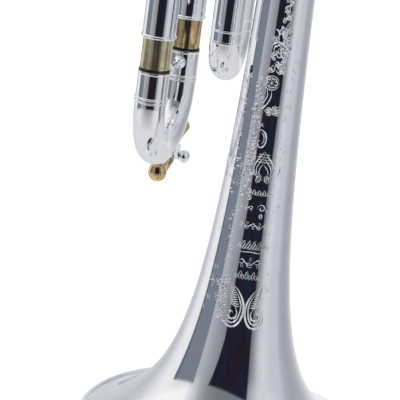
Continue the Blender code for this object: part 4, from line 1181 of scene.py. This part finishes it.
class Graph:
    """Small helpers for arithmetic in a node tree."""

    def __init__(self, tree):
        self.tree = tree

    def math(self, operation, a, b=None, clamp=False):
        node = self.tree.nodes.new("ShaderNodeMath")
        node.operation = operation
        node.use_clamp = clamp
        for socket, value in zip(node.inputs, (a, b)):
            if value is None:
                continue
            if isinstance(value, (int, float)):
                socket.default_value = value
            else:
                self.tree.links.new(value, socket)
        return node.outputs[0]

    def above(self, value, edge, soft):
        """0 below an edge and 1 above it, with a soft step; the edge may be a socket."""
        away = self.math("SUBTRACT", value, edge)
        return self.math("ADD", self.math("DIVIDE", away, soft), 0.5, clamp=True)

    def mix(self, share, a, b):
        node = self.tree.nodes.new("ShaderNodeMix")
        node.data_type = "RGBA"
        for socket, value in ((node.inputs["Factor"], share), (node.inputs[6], a), (node.inputs[7], b)):
            if isinstance(value, tuple):
                socket.default_value = (*value, 1.0)
            elif isinstance(value, (int, float)):
                socket.default_value = value
            else:
                self.tree.links.new(value, socket)
        return node.outputs[2]


def studio():
    """White seamless surroundings; polished metal sees pale walls, a grey card and a black card in front."""
    scene = bpy.context.scene
    world = bpy.data.worlds.new("studio")
    scene.world = world
    world.use_nodes = True
    tree = world.node_tree
    tree.nodes.clear()
    g = Graph(tree)
    coord = tree.nodes.new("ShaderNodeTexCoord")
    parts = tree.nodes.new("ShaderNodeSeparateXYZ")
    tree.links.new(coord.outputs["Generated"], parts.inputs[0])
    x, y, z = parts.outputs
    azimuth = g.math("MULTIPLY", g.math("ARCTAN2", x, g.math("MULTIPLY", y, -1.0)), 180 / math.pi)
    height = g.math("MULTIPLY", g.math("ARCSINE", z), 180 / math.pi)
    around = g.math("DIVIDE", g.math("ADD", azimuth, 180.0), 360.0)

    def walls(stops):
        return ramp(tree, around, [((a + 180) / 360, grey(level)) for a, level in stops])

    low = walls([(-180, (228, 230, 236)), (-165, (205, 208, 216)), (-150, (197, 200, 208)),
                 (-139, (188, 190, 197)), (-128, (203, 204, 210)), (-115, (226, 226, 231)), (-104, 233),
                 (-92, 228), (-58, (174, 178, 184)), (-50, (170, 174, 180)), (-36, (152, 155, 164)),
                 (-20, (134, 136, 144)), (34, (88, 90, 100)), (44, (142, 145, 154)),
                 (54, (190, 194, 202)), (64, (206, 209, 216)), (80, (194, 197, 206)),
                 (97, (190, 194, 203)), (108, (168, 171, 180)), (122, (160, 163, 171)),
                 (140, (170, 173, 180)), (156, (196, 198, 203)), (168, 220), (180, 236)])
    high = walls([(-180, 226), (-150, 222), (-120, 240), (-90, 246), (-66, 242), (-57, (216, 217, 226)),
                  (-50, (198, 201, 206)), (-42, (166, 169, 174)), (-30, (134, 137, 142)),
                  (-12, (116, 119, 128)), (20, (116, 119, 128)), (36, (136, 139, 148)),
                  (46, (176, 180, 188)), (56, (206, 209, 215)), (80, (204, 207, 214)),
                  (100, (198, 202, 210)), (115, (180, 183, 192)), (150, (205, 208, 214)), (180, 226)])
    sides = g.mix(g.above(height, 20.0, 8.0), low, high)
    overhead = g.mix(g.above(height, 58.0, 26.0), sides, grey(236))

    def card(left, right, top, level, soft):
        """A card between two azimuths and below a slanting top edge, as a mask and a level."""
        mask = g.math("MULTIPLY", g.above(azimuth, left, soft), g.above(right, azimuth, soft))
        return g.math("MULTIPLY", mask, g.above(top, height, 1.6)), level

    grey_top = g.math("ADD", 13.0, g.math("MULTIPLY", g.math("ADD", azimuth, 96.0), 0.2))
    shade_of = g.mix(g.above(azimuth, -88.5, 5.0), grey((84, 92, 104)), grey((117, 125, 138)))
    mask, level = card(-93.0, -55.5, grey_top, shade_of, 2.0)
    seen = g.mix(mask, overhead, level)
    lean = g.math("MULTIPLY", g.math("MAXIMUM", g.math("SUBTRACT", height, 4.0), 0.0), -0.62)
    black_left = g.math("ADD", -17.5, lean)
    black_top = g.math("ADD", 24.5, g.math("MULTIPLY", g.math("ADD", azimuth, 23.0), 0.11))
    cast = tree.nodes.new("ShaderNodeTexNoise")
    cast.inputs["Scale"].default_value = 4.5
    tree.links.new(coord.outputs["Generated"], cast.inputs["Vector"])
    velvet = ramp(tree, cast.outputs["Fac"], [(0.46, grey((34, 27, 37))), (0.70, grey((20, 38, 60)))])
    mask, level = card(black_left, 37.0, black_top, velvet, 2.4)
    seen = g.mix(mask, seen, level)

    table = walls([(-180, 214), (-95, 216), (-62, 226), (-40, 196), (-18, 158), (8, 150), (28, 168),
                  (50, 214), (75, 228), (110, 210), (180, 214)])
    depth = g.math("MULTIPLY", height, -1.0)
    table = g.mix(g.above(depth, 36.0, 34.0), table, grey((216, 217, 222)))
    seen = g.mix(g.above(depth, 17.8, 1.8), seen, table)

    ray = tree.nodes.new("ShaderNodeLightPath")
    soft = g.mix(ray.outputs["Is Diffuse Ray"], seen, (1.25, 1.25, 1.27))
    soft = g.mix(ray.outputs["Is Camera Ray"], soft, (1.2, 1.2, 1.2))
    background = tree.nodes.new("ShaderNodeBackground")
    output = tree.nodes.new("ShaderNodeOutputWorld")
    tree.links.new(soft, background.inputs["Color"])
    tree.links.new(background.outputs[0], output.inputs[0])

    floor_mesh = bpy.data.meshes.new("floor")
    reach = 6.0
    floor_mesh.from_pydata([(-reach, -reach, 0), (reach, -reach, 0), (reach, reach, 0), (-reach, reach, 0)],
                           [], [(0, 1, 2, 3)])
    floor = bpy.data.objects.new("floor", floor_mesh)
    floor_mesh.materials.append(plain("floor_paper", (0.93, 0.93, 0.93), (0.91, 0.91, 0.91), (0.8, 0.9),
                                      30.0, 0.0001))
    scene.collection.objects.link(floor)
    floor.visible_glossy = False

    lamp = bpy.data.lights.new("key", "AREA")
    lamp.shape = "DISK"
    lamp.size = 1.2
    lamp.energy = 14
    light = bpy.data.objects.new("key", lamp)
    light.location = (-0.9, -1.1, 1.9)
    light.rotation_euler = (Vector((0, 0, 0.2)) - light.location).to_track_quat("-Z", "Y").to_euler()
    light.visible_glossy = False
    scene.collection.objects.link(light)

    scene.view_settings.view_transform = "Standard"
    scene.view_settings.look = "None"


CAMERA_AT = Vector((81.75, -673.0, 306.2))
CAMERA_AZIMUTH = math.radians(7.786)
CAMERA_DOWN = math.radians(17.653)
CAMERA_ROLL = math.radians(7.764)
CAMERA_LENS = 160.35


def camera():
    """A long lens from the front and a little above, rolled as a hand-held picture is."""
    data = bpy.data.cameras.new("camera")
    data.sensor_width = 36.0
    data.lens = CAMERA_LENS
    data.clip_start, data.clip_end = 0.01, 20.0
    ahead = Vector((-math.sin(CAMERA_AZIMUTH) * math.cos(CAMERA_DOWN),
                    math.cos(CAMERA_AZIMUTH) * math.cos(CAMERA_DOWN), -math.sin(CAMERA_DOWN)))
    right = ahead.cross(UP).normalized()
    top = right.cross(ahead)
    c, s = math.cos(CAMERA_ROLL), math.sin(CAMERA_ROLL)
    right, top = c * right + s * top, -s * right + c * top
    obj = bpy.data.objects.new("camera", data)
    obj.matrix_world = Matrix((right, top, -ahead)).transposed().to_4x4()
    obj.location = CAMERA_AT * MM
    bpy.context.scene.collection.objects.link(obj)
    bpy.context.scene.camera = obj


camera()
studio()
bell()
engraving()
fixed_tubes()
mouthpiece()
braces()
main_slide()
valves()
valve_slides()
pinky_hook()
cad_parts["bell_rim_wire"].data.materials[0] = BRASS
